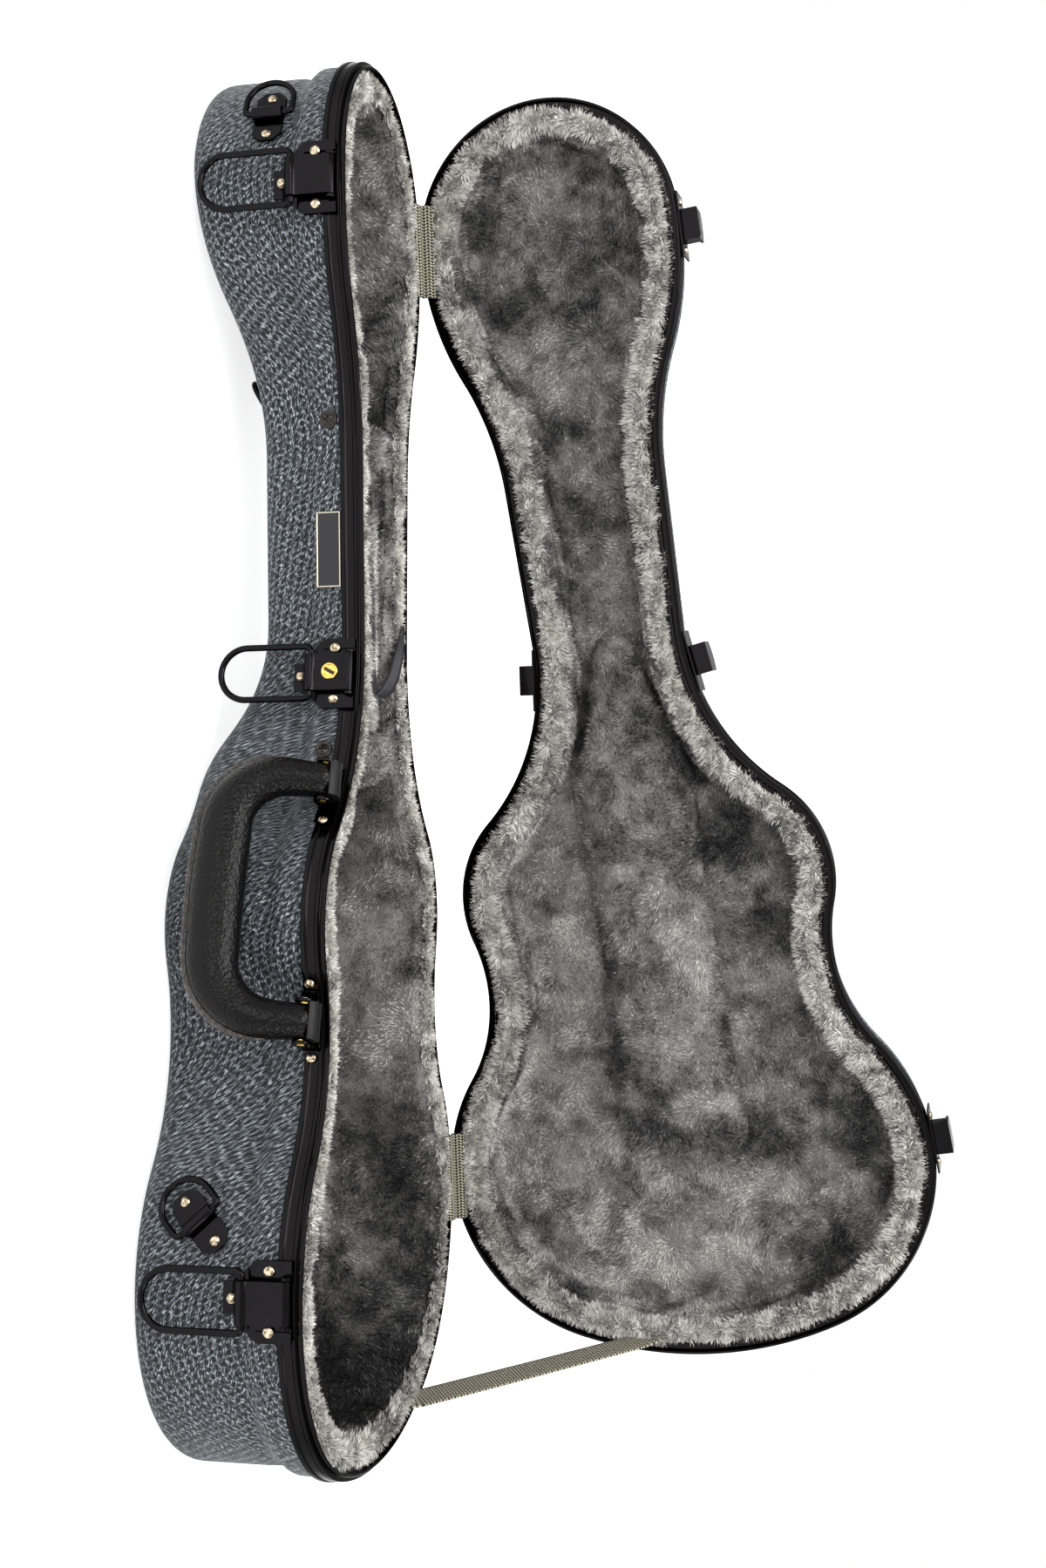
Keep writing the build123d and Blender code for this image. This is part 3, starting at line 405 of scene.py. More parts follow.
def tube(path, radius, sides=14, closed=False):
    """Grid of circles carried along a path without twist; path and radius in mm."""
    path = np.asarray(path, float)
    radius = np.broadcast_to(radius, len(path))
    ahead = np.roll(path, -1, 0) - np.roll(path, 1, 0)
    if not closed:
        ahead[0], ahead[-1] = path[1] - path[0], path[-1] - path[-2]
    ahead /= np.linalg.norm(ahead, axis=1, keepdims=True)
    side = np.cross(ahead[0], [0.123, 0.456, 0.882])
    rings = []
    for p, a, r in zip(path, ahead, radius):
        side = side - a * side.dot(a)
        side /= np.linalg.norm(side)
        up = np.cross(a, side)
        t = np.linspace(0, 2 * math.pi, sides, endpoint=False)[:, None]
        rings.append(p + r * (np.cos(t) * side + np.sin(t) * up))
    return np.array(rings)


def rounded(points, radius, steps=6):
    """Polyline whose corners are quadratic curves that reach radius along each side."""
    pts = [Vector(p) for p in points]
    out = [pts[0]]
    for a, b, c in zip(pts, pts[1:], pts[2:]):
        reach = min(radius, (a - b).length * 0.49, (c - b).length * 0.49)
        start, end = b + (a - b).normalized() * reach, b + (c - b).normalized() * reach
        for i in range(steps + 1):
            t = i / steps
            out.append(start * (1 - t) ** 2 + b * 2 * t * (1 - t) + end * t * t)
    out.append(pts[-1])
    return out


def lathe(profile, place_at, sides=24):
    """Surface of (radius, height) turned about local Y at a 4x4 place, in mm."""
    t = np.linspace(0, 2 * math.pi, sides, endpoint=False)
    rows = [[place_at @ Vector((r * math.cos(a), h, r * math.sin(a))) for a in t]
            for r, h in profile]
    return np.array([[tuple(v) for v in row] for row in rows])


def d_shape(start, half, leg, corner):
    """Half of a bent wire in its plane, from start on its bar: corner, leg and round bow."""
    bar = [Vector((*q, 0)) for q in ((start, 0.0), (half, 0.0), (half, leg))]
    flat = [(v.x, v.y) for v in rounded(bar, corner, 6)]
    bow = [(half * math.cos(a), leg + half * math.sin(a)) for a in np.linspace(0, math.pi, 25)]
    return flat[:-1] + bow + [(-x, y) for x, y in reversed(flat[:-1])]


def joined(name, grids, closed=(False, True)):
    """One mesh object from several grids."""
    verts, faces = [], []
    for g in grids:
        rows, cols = g.shape[:2]
        start = len(verts)
        verts += g.reshape(-1, 3).tolist()
        for i in range(rows if closed[0] else rows - 1):
            for j in range(cols if closed[1] else cols - 1):
                a, b = (i + 1) % rows, (j + 1) % cols
                corners = (i * cols + j, i * cols + b, a * cols + b, a * cols + j)
                faces.append([start + k for k in corners])
    mesh = bpy.data.meshes.new(name)
    mesh.from_pydata((np.array(verts) * MM).tolist(), [], faces)
    bm = bmesh.new()
    bm.from_mesh(mesh)
    bmesh.ops.recalc_face_normals(bm, faces=bm.faces)
    bm.to_mesh(mesh)
    bm.free()
    return place(name, mesh)


def ends_closed(grid):
    """Adds a centre point at each end of a tube grid, so that it closes."""
    first = np.repeat(grid[0].mean(0)[None, None], grid.shape[1], 1)
    last = np.repeat(grid[-1].mean(0)[None, None], grid.shape[1], 1)
    return np.concatenate([first, grid, last])


# Covering of the base: woven tweed glued over the wooden shell, from the rim to the underside.
# It replaces the CAD shell with the same walls, a rounded bottom edge and its weave laid along
# the wall.

def tweed():
    """Dark ovals in staggered columns, 4.0 mm apart across the wall and 3.7 mm along it.

    They lean at 60 degrees, as do the fine pale threads between them."""
    mat = material("woven_tweed")
    uv = put(mat, "UVMap", uv_map="weave")
    spot = put(mat, "TexCoord", out="Object")
    wander = put(mat, "TexNoise", {"Vector": uv, "Scale": 120.0, "Detail": 1.0}, out="Color")
    shift = put(mat, "VectorMath", {0: wander, 1: (0.0009, 0.0009, 0.0)}, operation="MULTIPLY")
    shifted = put(mat, "VectorMath", {0: uv, 1: shift}, operation="ADD")
    split = put(mat, "SeparateXYZ", {0: shifted}).node
    u, v = split.outputs[0], split.outputs[1]
    wide, tall = 8.0, 3.7
    rows = calc(mat, "DIVIDE", u, tall * MM)
    columns = calc(mat, "DIVIDE", calc(mat, "MULTIPLY_ADD", u, 0.22, v), wide * MM)

    def from_centre(count, offset, pitch):
        part = calc(mat, "FRACT", calc(mat, "ADD", count, offset))
        return calc(mat, "MULTIPLY", calc(mat, "SUBTRACT", part, 0.5), pitch)

    def oval(offset):
        """Distance from the nearest oval of one of the two sets of columns, 1 at its edge"""
        x, y = from_centre(columns, offset, wide), from_centre(rows, offset, tall)
        across_it = calc(mat, "MULTIPLY_ADD", x, 0.5, calc(mat, "MULTIPLY", y, -0.87))
        along_it = calc(mat, "MULTIPLY_ADD", x, 0.87, calc(mat, "MULTIPLY", y, 0.5))
        a, b = calc(mat, "DIVIDE", across_it, 1.75), calc(mat, "DIVIDE", along_it, 1.05)
        square = calc(mat, "ADD", calc(mat, "MULTIPLY", a, a), calc(mat, "MULTIPLY", b, b))
        return calc(mat, "SQRT", square)

    far = calc(mat, "MINIMUM", oval(0.0), oval(0.5))
    net = band(mat, far, 0.7, 1.05)
    lean = calc(mat, "MULTIPLY_ADD", u, -1.74, v)
    over = calc(mat, "MULTIPLY_ADD", v, 1.74, u)
    grain = put(mat, "CombineXYZ", {0: calc(mat, "MULTIPLY", lean, 0.15),
                                    1: calc(mat, "MULTIPLY", over, 0.5)})
    thread = noise(mat, grain, 0.62, 1.5, 0.6)
    chance = noise(mat, uv, 3.4, 1.0)
    bright = calc(mat, "MULTIPLY", calc(mat, "MULTIPLY", net, band(mat, thread, 0.46, 0.66)),
                  band(mat, chance, 0.3, 0.66, 0.3, 1.0))
    faint = calc(mat, "MULTIPLY_ADD", band(mat, thread, 0.5, 0.75), 0.16, bright)
    cloud = noise(mat, spot, 60.0, 3.0)
    thick = mix(mat, cloud, linear("#1B1F24"), linear("#272B32"))
    ground = mix(mat, net, linear("#0C0D10"), thick)
    color = mix(mat, faint, ground, linear("#B2BAC1"))
    height = calc(mat, "MULTIPLY_ADD", net, 0.5, calc(mat, "MULTIPLY", bright, 0.5))
    rough = band(mat, bright, 0.0, 1.0, 0.6, 0.42)
    return surface_of(mat, {"Base Color": color, "Roughness": rough, "Specular IOR Level": 0.2,
                            "Normal": bump(mat, height, 0.35, 0.6)})


TWEED = tweed()


def base_covering():
    """Grid from one rim down the wall, round the bottom edge, across the underside and up.

    The collar's rows are insets and heights; below it the wall runs on at one inset."""
    p, n, u = walk_outline(3.0)
    collar = [(1.5, 78.6), (1.5, 70.0), (1.5, 62.5), (1.6, 60.8), (2.2, 59.2), (3.8, 57.0),
              (5.6, 54.8), (6.4, 53.2), (6.5, 51.8), (6.0, 50.2), (5.4, 48.2)]
    top, foot, wall_inset, edge, count = collar[0][1], collar[-1][1], 5.2, 12.0, 22
    under = floor_at(inset_row(p, n, wall_inset, 0)[:, 0])
    rows = [(inset, np.full(len(p), z)) for inset, z in collar]
    rows += [(wall_inset, foot + (under + edge - foot) * t) for t in np.linspace(0, 1, 9)[1:]]
    v = [top - z for _, z in rows]
    rows = [inset_row(p, n, inset, z) for inset, z in rows]
    for number, (inwards, down) in enumerate(corner_of(edge, 9), 1):
        flat = inset_row(p, n, wall_inset + inwards, 0)
        flat[:, 2] = floor_at(flat[:, 0]) + edge - down
        rows.append(flat)
        v.append(top - under - edge + edge * math.radians(90.0 / 8 * number))
    rows, v = np.array(rows), np.array(v)
    uv = across_uv(u, v, rows[-1][:, 1], count)
    return surface("base_covering", across(rows, count), uv=uv, weld=True, flip=True)


covering = dress(base_covering(), TWEED)
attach(covering, "base")
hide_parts("base_shell")


# Covering of the lid: the same tweed over the shallow lid, with a rounded top edge.

def lid_covering():
    p, n, u = walk_outline(3.0)
    inset, edge, high, count = 1.5, 14.0, LID_BASE + 36.0, 28
    profile = [(inset, 84.6), (inset, 92.0), (inset, high - edge)]
    profile += [(inset + inwards, high - edge + up) for inwards, up in corner_of(edge, 10)]
    rows = np.array([inset_row(p, n, i, z) for i, z in profile])
    steps = [math.dist(a, b) for a, b in zip(profile, profile[1:])]
    v = np.array([np.full(len(p), reach) for reach in np.cumsum([0.0] + steps)])
    uv = across_uv(u, v, rows[-1][:, 1], count)
    return surface("lid_covering", opened(across(rows, count)), uv=uv, weld=True)


lid_cover = dress(lid_covering(), TWEED)
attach(lid_cover, "lid")
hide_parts("lid_shell")


# Rims: black anodised aluminium extrusions with a rounded bead at the foot of the skirt, a
# tongue on the base and a groove for it in the lid. Each is one section swept round the outline.

BLACK_METAL = {"Metallic": 1.0, "Specular_Tint": linear("#A0A0A0"), "Coat_Roughness": 0.05}
ANODISED = mottled("black_anodised", 30.0, "#0D0C0D", "#171516", (0.14, 0.12), detail=2.0,
                   relief=(0.01, 0.3), grain=0.8, Coat_Weight=0.09, **BLACK_METAL)
base_section = [(0.3, 71.5), (-0.25, 71.6), (-0.5, 71.9), (-0.55, 73.0), (-0.5, 74.1),
                (-0.25, 74.5), (0.05, 74.7), (0.05, 78.0), (0.35, 78.2), (0.35, 78.5),
                (0.0, 78.7), (0.0, 79.4), (0.12, 79.8), (0.45, 80.0), (2.0, 80.0),
                (2.2, 80.15), (2.2, 82.1), (2.45, 82.45), (2.9, 82.5), (3.35, 82.45),
                (3.6, 82.1), (3.6, 80.15), (3.8, 80.0), (6.1, 80.0), (6.4, 79.85),
                (6.5, 79.5), (6.5, 78.6), (1.4, 78.6), (1.4, 71.5)]
lid_section = [(0.3, 88.9), (-0.25, 88.8), (-0.5, 88.5), (-0.55, 87.4), (-0.5, 86.3),
               (-0.25, 85.9), (0.05, 85.7), (0.05, 82.4), (0.35, 82.2), (0.35, 81.9),
               (0.0, 81.7), (0.0, 81.0), (0.12, 80.6), (0.45, 80.4), (1.35, 80.4),
               (1.5, 80.55), (1.5, 83.0), (4.3, 83.0), (4.3, 80.55), (4.45, 80.4),
               (6.1, 80.4), (6.4, 80.55), (6.5, 80.9), (6.5, 84.4), (1.4, 84.4),
               (1.4, 88.9)]


def rim(name, section, lid):
    """Sweep of a section of (inset, height) round the whole outline."""
    p, n, _ = loop(2.2)
    grid = np.stack([inset_row(p, n, inset, z) for inset, z in section], 1)
    grid = opened(grid) if lid else grid
    return sharpen(surface(name, grid, closed=(True, True), flip=not lid))


for name, section, body in (("base_rim_extrusion", base_section, "base"),
                            ("lid_rim_extrusion", lid_section, "lid")):
    piece = dress(rim(name, section, body == "lid"), ANODISED)
    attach(piece, body)
    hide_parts(body + "_rim")


# Plush lining of both halves: long-pile grey plush over foam. A soft roll lies inside the rim,
# then the lining drops to the floor. The tone of the pile, brushed places and painted light and
# shade included, is stored on each point, and the pile itself stands on the lining as blades,
# further down.

def plush(name, pale, dark):
    """Backing of the pile, coloured by the stored tone of its points, with its painted light and
    shade.
    """
    mat, spot = textured(name)
    tone = put(mat, "Attribute", out="Fac", attribute_name="tone", attribute_type="GEOMETRY")
    fibre = noise(mat, spot, 1.7, 3.0, 0.7)
    hair = noise(mat, spot, 0.6, 2.0, 0.7)
    lively = calc(mat, "ADD", tone, calc(mat, "MULTIPLY_ADD", fibre, 0.8, -0.4))
    color = mix(mat, lively, linear(dark), linear(pale))
    height = calc(mat, "MULTIPLY_ADD", fibre, 0.6, calc(mat, "MULTIPLY", hair, 0.4))
    return surface_of(mat, {"Base Color": color, "Roughness": 0.95, "Specular IOR Level": 0.08,
                            "Normal": bump(mat, height, 1.4, 0.9)})


PLUSH = plush("grey_plush", "#9A9895", "#1A1A1B")
ROLL_PLUSH = plush("pale_plush", "#B4B2AB", "#5C5B58")
PILE_TONES = ("#202021", "#3C3C3D", "#5D5C5C", "#7D7B79", "#9C9A97", "#BCB9B4", "#DCD9D3")
PILE = [surface_of(material(f"pile_{number}"), {"Base Color": linear(code), "Roughness": 0.8,
                                                "Specular IOR Level": 0.1})
        for number, code in enumerate(PILE_TONES)]


# Places of brushed pile and of painted light and shade: paler and darker patches in the pile's
# tone.
BRUSHED_AND_SHADED_PLACES = [(-462, 98, 157, 46, -0.2), (-336, 112, 163, 20, -0.3), (-241, 123, 176, 26, 0.25),
           (-140, 135, 189, 16, -0.5), (29, 155, 205, 14, -0.5), (63, 164, 141, 28, 0.35),
           (-119, 131, 279, 30, -0.4), (30, 147, 316, 28, -0.35), (108, 164, 224, 30, 0.25),
           (-60, 142, 235, 30, 0.3), (-80, 138, 150, 26, 0.3), (126, 30, 60, 48, -1.1),
           (74, 62, 56, 36, -0.6), (34, 78, 76, 18, -0.4), (-50, 60, 62, 44, 0.3),
           (-136, 132, 165, 24, 0.6), (132, 70, 70, 14, 0.4), (-347, 30, 66, 16, -0.5),
           (-500, 40, 60, 20, 0.25)]


def pile_tone(p):
    """Tone of the pile from 0 to 1: noise of 24, 11 and 5 mm and large places of brushed pile
    and of painted light and shade.

    The list of places holds, in mm: centre, radius and how much paler the pile is there; the
    darker ones are partly painted shade in deep places, such as the head end of the lid."""
    t = 0.45 * lattice(p, 24.0, 31) + 0.36 * lattice(p, 11.0, 32) + 0.3 * lattice(p, 5.0, 33)
    for x, y, z, radius, amount in BRUSHED_AND_SHADED_PLACES:
        t += amount * np.exp(-((p - [x, y, z]) ** 2).sum(1) / (2 * radius ** 2))
    return 0.5 + 0.55 * np.tanh(1.45 * t + 0.06)


def store_tone(obj):
    tone = obj.data.attributes.new("tone", "FLOAT", "POINT")
    tone.data.foreach_set("value", pile_tone(points_of(obj)).clip(0, 1).astype(np.float32))
    return obj


def lining(name, lid):
    """Grid from the rim over the roll, down the inner wall, round the foot, across the floor.

    The roll's rows are insets and heights over the rim; along x a narrow roll turns into a
    wide one, and share says how wide it is."""
    p, n, _ = walk_outline(2.2)
    sign, top = (-1, LID_BASE) if lid else (1, BASE_TOP)
    wide = [(6.9, -2.0), (7.2, -0.8), (8.4, 0.4), (10.3, 1.0), (12.6, 1.2), (15.0, 0.9),
            (17.4, 0.0), (19.6, -1.6), (21.2, -3.4), (22.0, -5.6)]
    narrow = [(6.9, -2.0), (7.1, -1.0), (8.0, 0.0), (9.6, 0.5), (11.6, 0.3), (14.0, -0.5),
              (16.6, -1.6), (19.0, -2.8), (21.0, -4.2), (22.0, -6.0)]
    wall_inset, foot, floor_over, lid_floor = 22.0, 6.0, 11.3, 106.6
    share = np.clip((p[:, 0] + 190.0) / 150.0, 0.3 if lid else 0.0, 1)
    rows = [inset_row(p, n, a + (i - a) * share, top + sign * (b + (h - b) * share))
            for (i, h), (a, b) in zip(wide, narrow)]

    def floor_under(row):
        return np.full(len(p), lid_floor) if lid else floor_at(row[:, 0]) + floor_over

    low = floor_under(inset_row(p, n, wall_inset, 0)) + sign * foot
    start = top - sign * 3.8
    for t in np.linspace(0, 1, 12 if lid else 26)[1:]:
        rows.append(inset_row(p, n, wall_inset, start + (low - start) * t))
    for inwards, down in corner_of(foot, 6):
        flat = inset_row(p, n, wall_inset + inwards, 0)
        flat[:, 2] = floor_under(flat) + sign * (foot - down)
        rows.append(flat)
    grid = across(np.array(rows), 74)
    obj = surface(name, opened(grid) if lid else grid, weld=True, flip=lid)
    return store_tone(nap(obj, [(46.0, 1.0, 3), (13.0, 0.9, 5), (5.0, 0.5, 8)]))


def from_rim(points, lid):
    """Depth of points below the rim plane of their half, in mm."""
    if lid:
        return moved(points, hinge_turn(LID_OPEN))[:, 2] - LID_BASE
    return BASE_TOP - points[:, 2]


def roll_material(obj, lid):
    """Faces near the rim get the paler, less crushed plush."""
    obj.data.materials.append(ROLL_PLUSH)
    near = from_rim(read(obj.data.polygons, "center") / MM, lid) < (1.6 if lid else 0.6)
    obj.data.polygons.foreach_set("material_index", near.astype(np.int32))


LININGS = {}
for name, body in (("base_lining", "base"), ("lid_lining", "lid")):
    piece = lining(name, body == "lid")
    LININGS[body] = piece
    dress(piece, PLUSH)
    roll_material(piece, body == "lid")
    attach(piece, body)
    if body == "base":
        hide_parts("base_floor_padding", "base_side_padding")
    else:
        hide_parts("lid_top_padding", "lid_side_padding")


# Upholstered blocks: the two neck blocks, the compartment's padded flap and the lid's long bolster.
# Each is its CAD form remeshed, blown up as cloth under pressure, refined and given the same pile.

def upholstered(name, node, voxel, reach, relief):
    """Remeshed copy of a CAD node, swollen by cloth pressure; no point moves more than reach mm."""
    obj = linked(name, welded(frame["nodes"][node].data.copy()))

    def apply():
        graph = bpy.context.evaluated_depsgraph_get()
        obj.data = bpy.data.meshes.new_from_object(obj.evaluated_get(graph))
        obj.modifiers.clear()

    remesh = obj.modifiers.new("remesh", "REMESH")
    remesh.mode, remesh.voxel_size = "VOXEL", voxel * MM
    soft = obj.modifiers.new("soft", "SMOOTH")
    soft.factor, soft.iterations = 0.5, 3
    apply()
    start = points_of(obj)
    cloth = obj.modifiers.new("cloth", "CLOTH")
    cloth.settings.use_pressure, cloth.settings.uniform_pressure_force = True, 4.0
    cloth.settings.effector_weights.gravity = 0.0
    for number in range(1, 21):
        bpy.context.scene.frame_set(number)
    apply()
    bpy.context.scene.frame_set(1)
    swell = points_of(obj) - start
    size = np.linalg.norm(swell, axis=1, keepdims=True)
    move_to(obj, start + swell * np.minimum(1.0, reach / np.maximum(size, 1e-9)))
    fine = obj.modifiers.new("fine", "SUBSURF")
    fine.levels = fine.render_levels = 1
    apply()
    obj.data.name = name
    obj.data.polygons.foreach_set("use_smooth", [True] * len(obj.data.polygons))
    store_tone(nap(obj, relief))
    dress(obj, PLUSH)
    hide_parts(node)
    return obj


SOFT_RELIEF = [(30.0, 0.6, 41), (8.0, 0.4, 42)]
COVERS = (("head_block_cover", "head_neck_block", "base", 3.5, 3.0),
          ("body_block_cover", "body_neck_block", "base", 3.5, 3.0),
          ("compartment_cover", "compartment_lid", "compartment", 2.5, 2.0),
          ("bolster_cover", "lid_bolster", "lid", 4.0, 3.5))
for name, node, body, voxel, reach in COVERS:
    LININGS[name] = upholstered(name, node, voxel, reach, SOFT_RELIEF)
    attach(LININGS[name], body)


# Pile: blades that stand on the linings and covers and lie over in the direction they are brushed.
# Short single blades cover the crushed plush, longer bent ones the roll along the rim.

def sampled(obj, count, rng, weight):
    """Random points on a mesh, spread by area times weight, with their normals, in mm."""
    obj.data.calc_loop_triangles()
    tris = read(obj.data.loop_triangles, "vertices", np.int32).astype(int)
    p, n = points_of(obj), normals_of(obj)
    corners = p[tris]
    cross = np.cross(corners[:, 1] - corners[:, 0], corners[:, 2] - corners[:, 0])
    share = np.linalg.norm(cross, axis=1) * weight(corners.mean(1))
    pick = rng.choice(len(tris), count, p=share / share.sum())
    a, b = rng.random((2, count))
    flip = a + b > 1
    a, b = np.where(flip, 1 - a, a)[:, None], np.where(flip, 1 - b, b)[:, None]
    at = corners[pick, 0] * (1 - a - b) + corners[pick, 1] * a + corners[pick, 2] * b
    return at, unit(n[tris[pick]].mean(1))


def brushed(at, normal, size, rng, rise, scatter):
    """Direction of blades: the normal times rise, a smooth swirl in the surface and scatter."""
    swirl = np.column_stack([lattice(at, size, seed) for seed in (21, 22, 23)]) * 1.6
    swirl += rng.normal(0, scatter, at.shape)
    swirl -= normal * (swirl * normal).sum(1, keepdims=True)
    return unit(normal * rise + swirl)


def unit(v):
    return v / np.maximum(np.linalg.norm(v, axis=1, keepdims=True), 1e-9)


def shades(at, rng, low, high):
    # The pile's tone here carries its painted light and shade.
    """Tone number of each blade, from low to high by the shade of the pile under it"""
    tone = low + (high - low) * pile_tone(at) + rng.normal(0, 1.05, len(at))
    return np.clip(np.round(tone), 0, len(PILE) - 1)


def short_pile(name, obj, body, count, seed, weight, low, high):
    """One triangle for each blade: two root points and a tip."""
    rng = np.random.default_rng(seed)
    at, normal = sampled(obj, count, rng, weight)
    way = brushed(at, normal, 17.0, rng, 0.62, 0.28)
    side = unit(np.cross(way, normal) + rng.normal(0, 0.25, at.shape))
    length = rng.uniform(1.9, 3.6, (count, 1))
    half = rng.uniform(0.28, 0.46, (count, 1))
    root = at - normal * 0.3
    points = np.stack([root - side * half, root + side * half, root + way * length], 1)
    tris = np.arange(count * 3).reshape(-1, 3)
    finish_pile(triangles(name, points.reshape(-1, 3), tris, shades(at, rng, low, high)), body)


def long_pile(name, obj, body, count, seed, weight, inward):
    """Three triangles for each blade: a root pair, a middle pair and a tip that droops inwards."""
    rng = np.random.default_rng(seed)
    at, normal = sampled(obj, count, rng, weight)
    way = unit(brushed(at, normal, 6.0, rng, 0.8, 0.22) + inward(at) * 0.6)
    side = unit(np.cross(way, normal) + rng.normal(0, 0.3, at.shape))
    length = rng.uniform(2.6, 4.9, (count, 1))
    half = rng.uniform(0.3, 0.52, (count, 1))
    root = at - normal * 0.4
    middle = root + way * length * 0.55
    tip = root + unit(way + inward(at) * 0.5 + rng.normal(0, 0.15, at.shape)) * length
    points = np.stack([root - side * half, root + side * half, middle - side * half * 0.8,
                       middle + side * half * 0.8, tip], 1).reshape(-1, 3)
    first = np.arange(count)[:, None] * 5
    tris = np.stack([first + [0, 1, 3], first + [0, 3, 2], first + [2, 3, 4]], 1).reshape(-1, 3)
    locks = 1.3 * lattice(at * [0.55, 1.0, 1.0], 2.0, 51)
    tones = np.clip(np.round(shades(at, rng, 4.5, 6.6) + locks), 0, len(PILE) - 1)
    finish_pile(triangles(name, points, tris, np.repeat(tones, 3)), body)


def finish_pile(piece, body):
    for strand in PILE:
        piece.data.materials.append(strand)
    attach(piece, body)


def near_rim(lid):
    return lambda c: (from_rim(c, lid) < (1.9 if lid else 1.4)) * 1.0


def below_rim(lid, floor_share):
    """Weight of the pile below the roll; in the base, less of it 24 mm down and deeper."""
    def weight(c):
        depth = from_rim(c, lid)
        deep = (depth > 24.0) & (not lid)
        return np.where(depth < (1.7 if lid else 0.8), 0.0, np.where(deep, floor_share, 1.0))
    return weight


def everywhere(c):
    return np.ones(len(c))


def towards_middle(lid):
    """Directions from points of the roll towards the cavity, from the nearest outline point."""
    p, n, _ = loop(4.0)
    turn = np.array(hinge_turn(LID_OPEN)) if lid else np.eye(4)
    crown, reach, share = 11.5, 7.0, 8000

    def inward(at):
        q = moved(at, turn)[:, :2]
        near = np.concatenate([((q[k:k + share, None] - p) ** 2).sum(2).argmin(1)
                               for k in range(0, len(q), share)])
        pull = ((np.linalg.norm(q - p[near], axis=1) - crown) / reach)[:, None]
        return np.column_stack([-n[near] * pull, np.zeros(len(q))]) @ turn[:3, :3]
    return inward


for name, body, count, seed in (("base_roll_pile", "base", 56000, 4),
                                ("lid_roll_pile", "lid", 62000, 9)):
    lid = body == "lid"
    long_pile(name, LININGS[body], body, count, seed, near_rim(lid), towards_middle(lid))
for name, under, body, count, seed, weight, low, high in (
        ("lid_pile", "lid", "lid", 190000, 12, below_rim(True, 1.0), 0.0, 5.5),
        ("base_pile", "base", "base", 180000, 13, below_rim(False, 0.55), -0.4, 5.2),
        ("bolster_pile", "bolster_cover", "lid", 60000, 14, everywhere, -0.5, 4.9),
        ("head_block_pile", "head_block_cover", "base", 14000, 15, everywhere, 2.0, 6.0),
        ("body_block_pile", "body_block_cover", "base", 20000, 16, everywhere, 2.0, 6.0),
        ("flap_pile", "compartment_cover", "compartment", 16000, 17, everywhere, 1.8, 5.8)):
    short_pile(name, LININGS[under], body, count, seed, weight, low, high)


# Ribbon that lifts the compartment's lid: black satin, sewn to its front edge.

def satin():
    mat, spot = textured("satin_ribbon")
    rib = noise(mat, spot, 0.5, 1.0, 0.5, (1.0, 6.0, 6.0))
    color = mix(mat, rib, linear("#0C0C10"), linear("#1E1E25"))
    return surface_of(mat, {"Base Color": color, "Roughness": 0.42, "Specular IOR Level": 0.3,
                            "Sheen Weight": 0.08, "Normal": bump(mat, rib, 0.08, 0.5)})


def ribbon():
    """Flat sewn end across the flap, then the strip along the flap and its standing loop."""
    lo, hi = (np.array(corner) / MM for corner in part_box("pull_tab"))
    top = hi[2]
    ripple = (-0.4, 0.0, 0.3, 0.1, 0.3, 0.2, -0.2)
    sewn = np.array([[(x, y, top + h) for x in np.linspace(lo[0], hi[0], 5)]
                     for y, h in zip(np.linspace(lo[1], hi[1], len(ripple)), ripple)])
    line = rounded([(lo[0] + 2, 7, top + 0.4), (-262, 6, top + 1.2), (-224, 5, top + 0.9),
                    (-211, 10, top + 3.5), (-222, 17, top + 8.5), (-240, 25, top + 10.5),
                    (-253, 32, top + 10.0)], 14.0, 7)
    line = np.array([tuple(v) for v in line])
    lift = np.linspace(0, 1, len(line))[:, None]
    flat, stood = np.array([[0.0, 1.0, 0.0]]), np.array([[0.35, 0.1, 0.9]])
    side = unit(flat * (1 - 0.55 * lift) + stood * 0.9 * lift ** 1.5)
    width = 4.6 * np.sin(math.pi * (0.2 + 0.77 * lift)) ** 0.6
    w = width * np.linspace(-1, 1, 5)
    strip = line[:, None] + side[:, None] * w[:, :, None]
    return joined("ribbon", [sewn, strip], closed=(False, False))


tab = dress(ribbon(), satin())
thicken(tab, 0.6)
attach(tab, "compartment")
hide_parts("pull_tab")


# Webbing: taupe herringbone band across the hinge line, from inside the base to inside the lid.

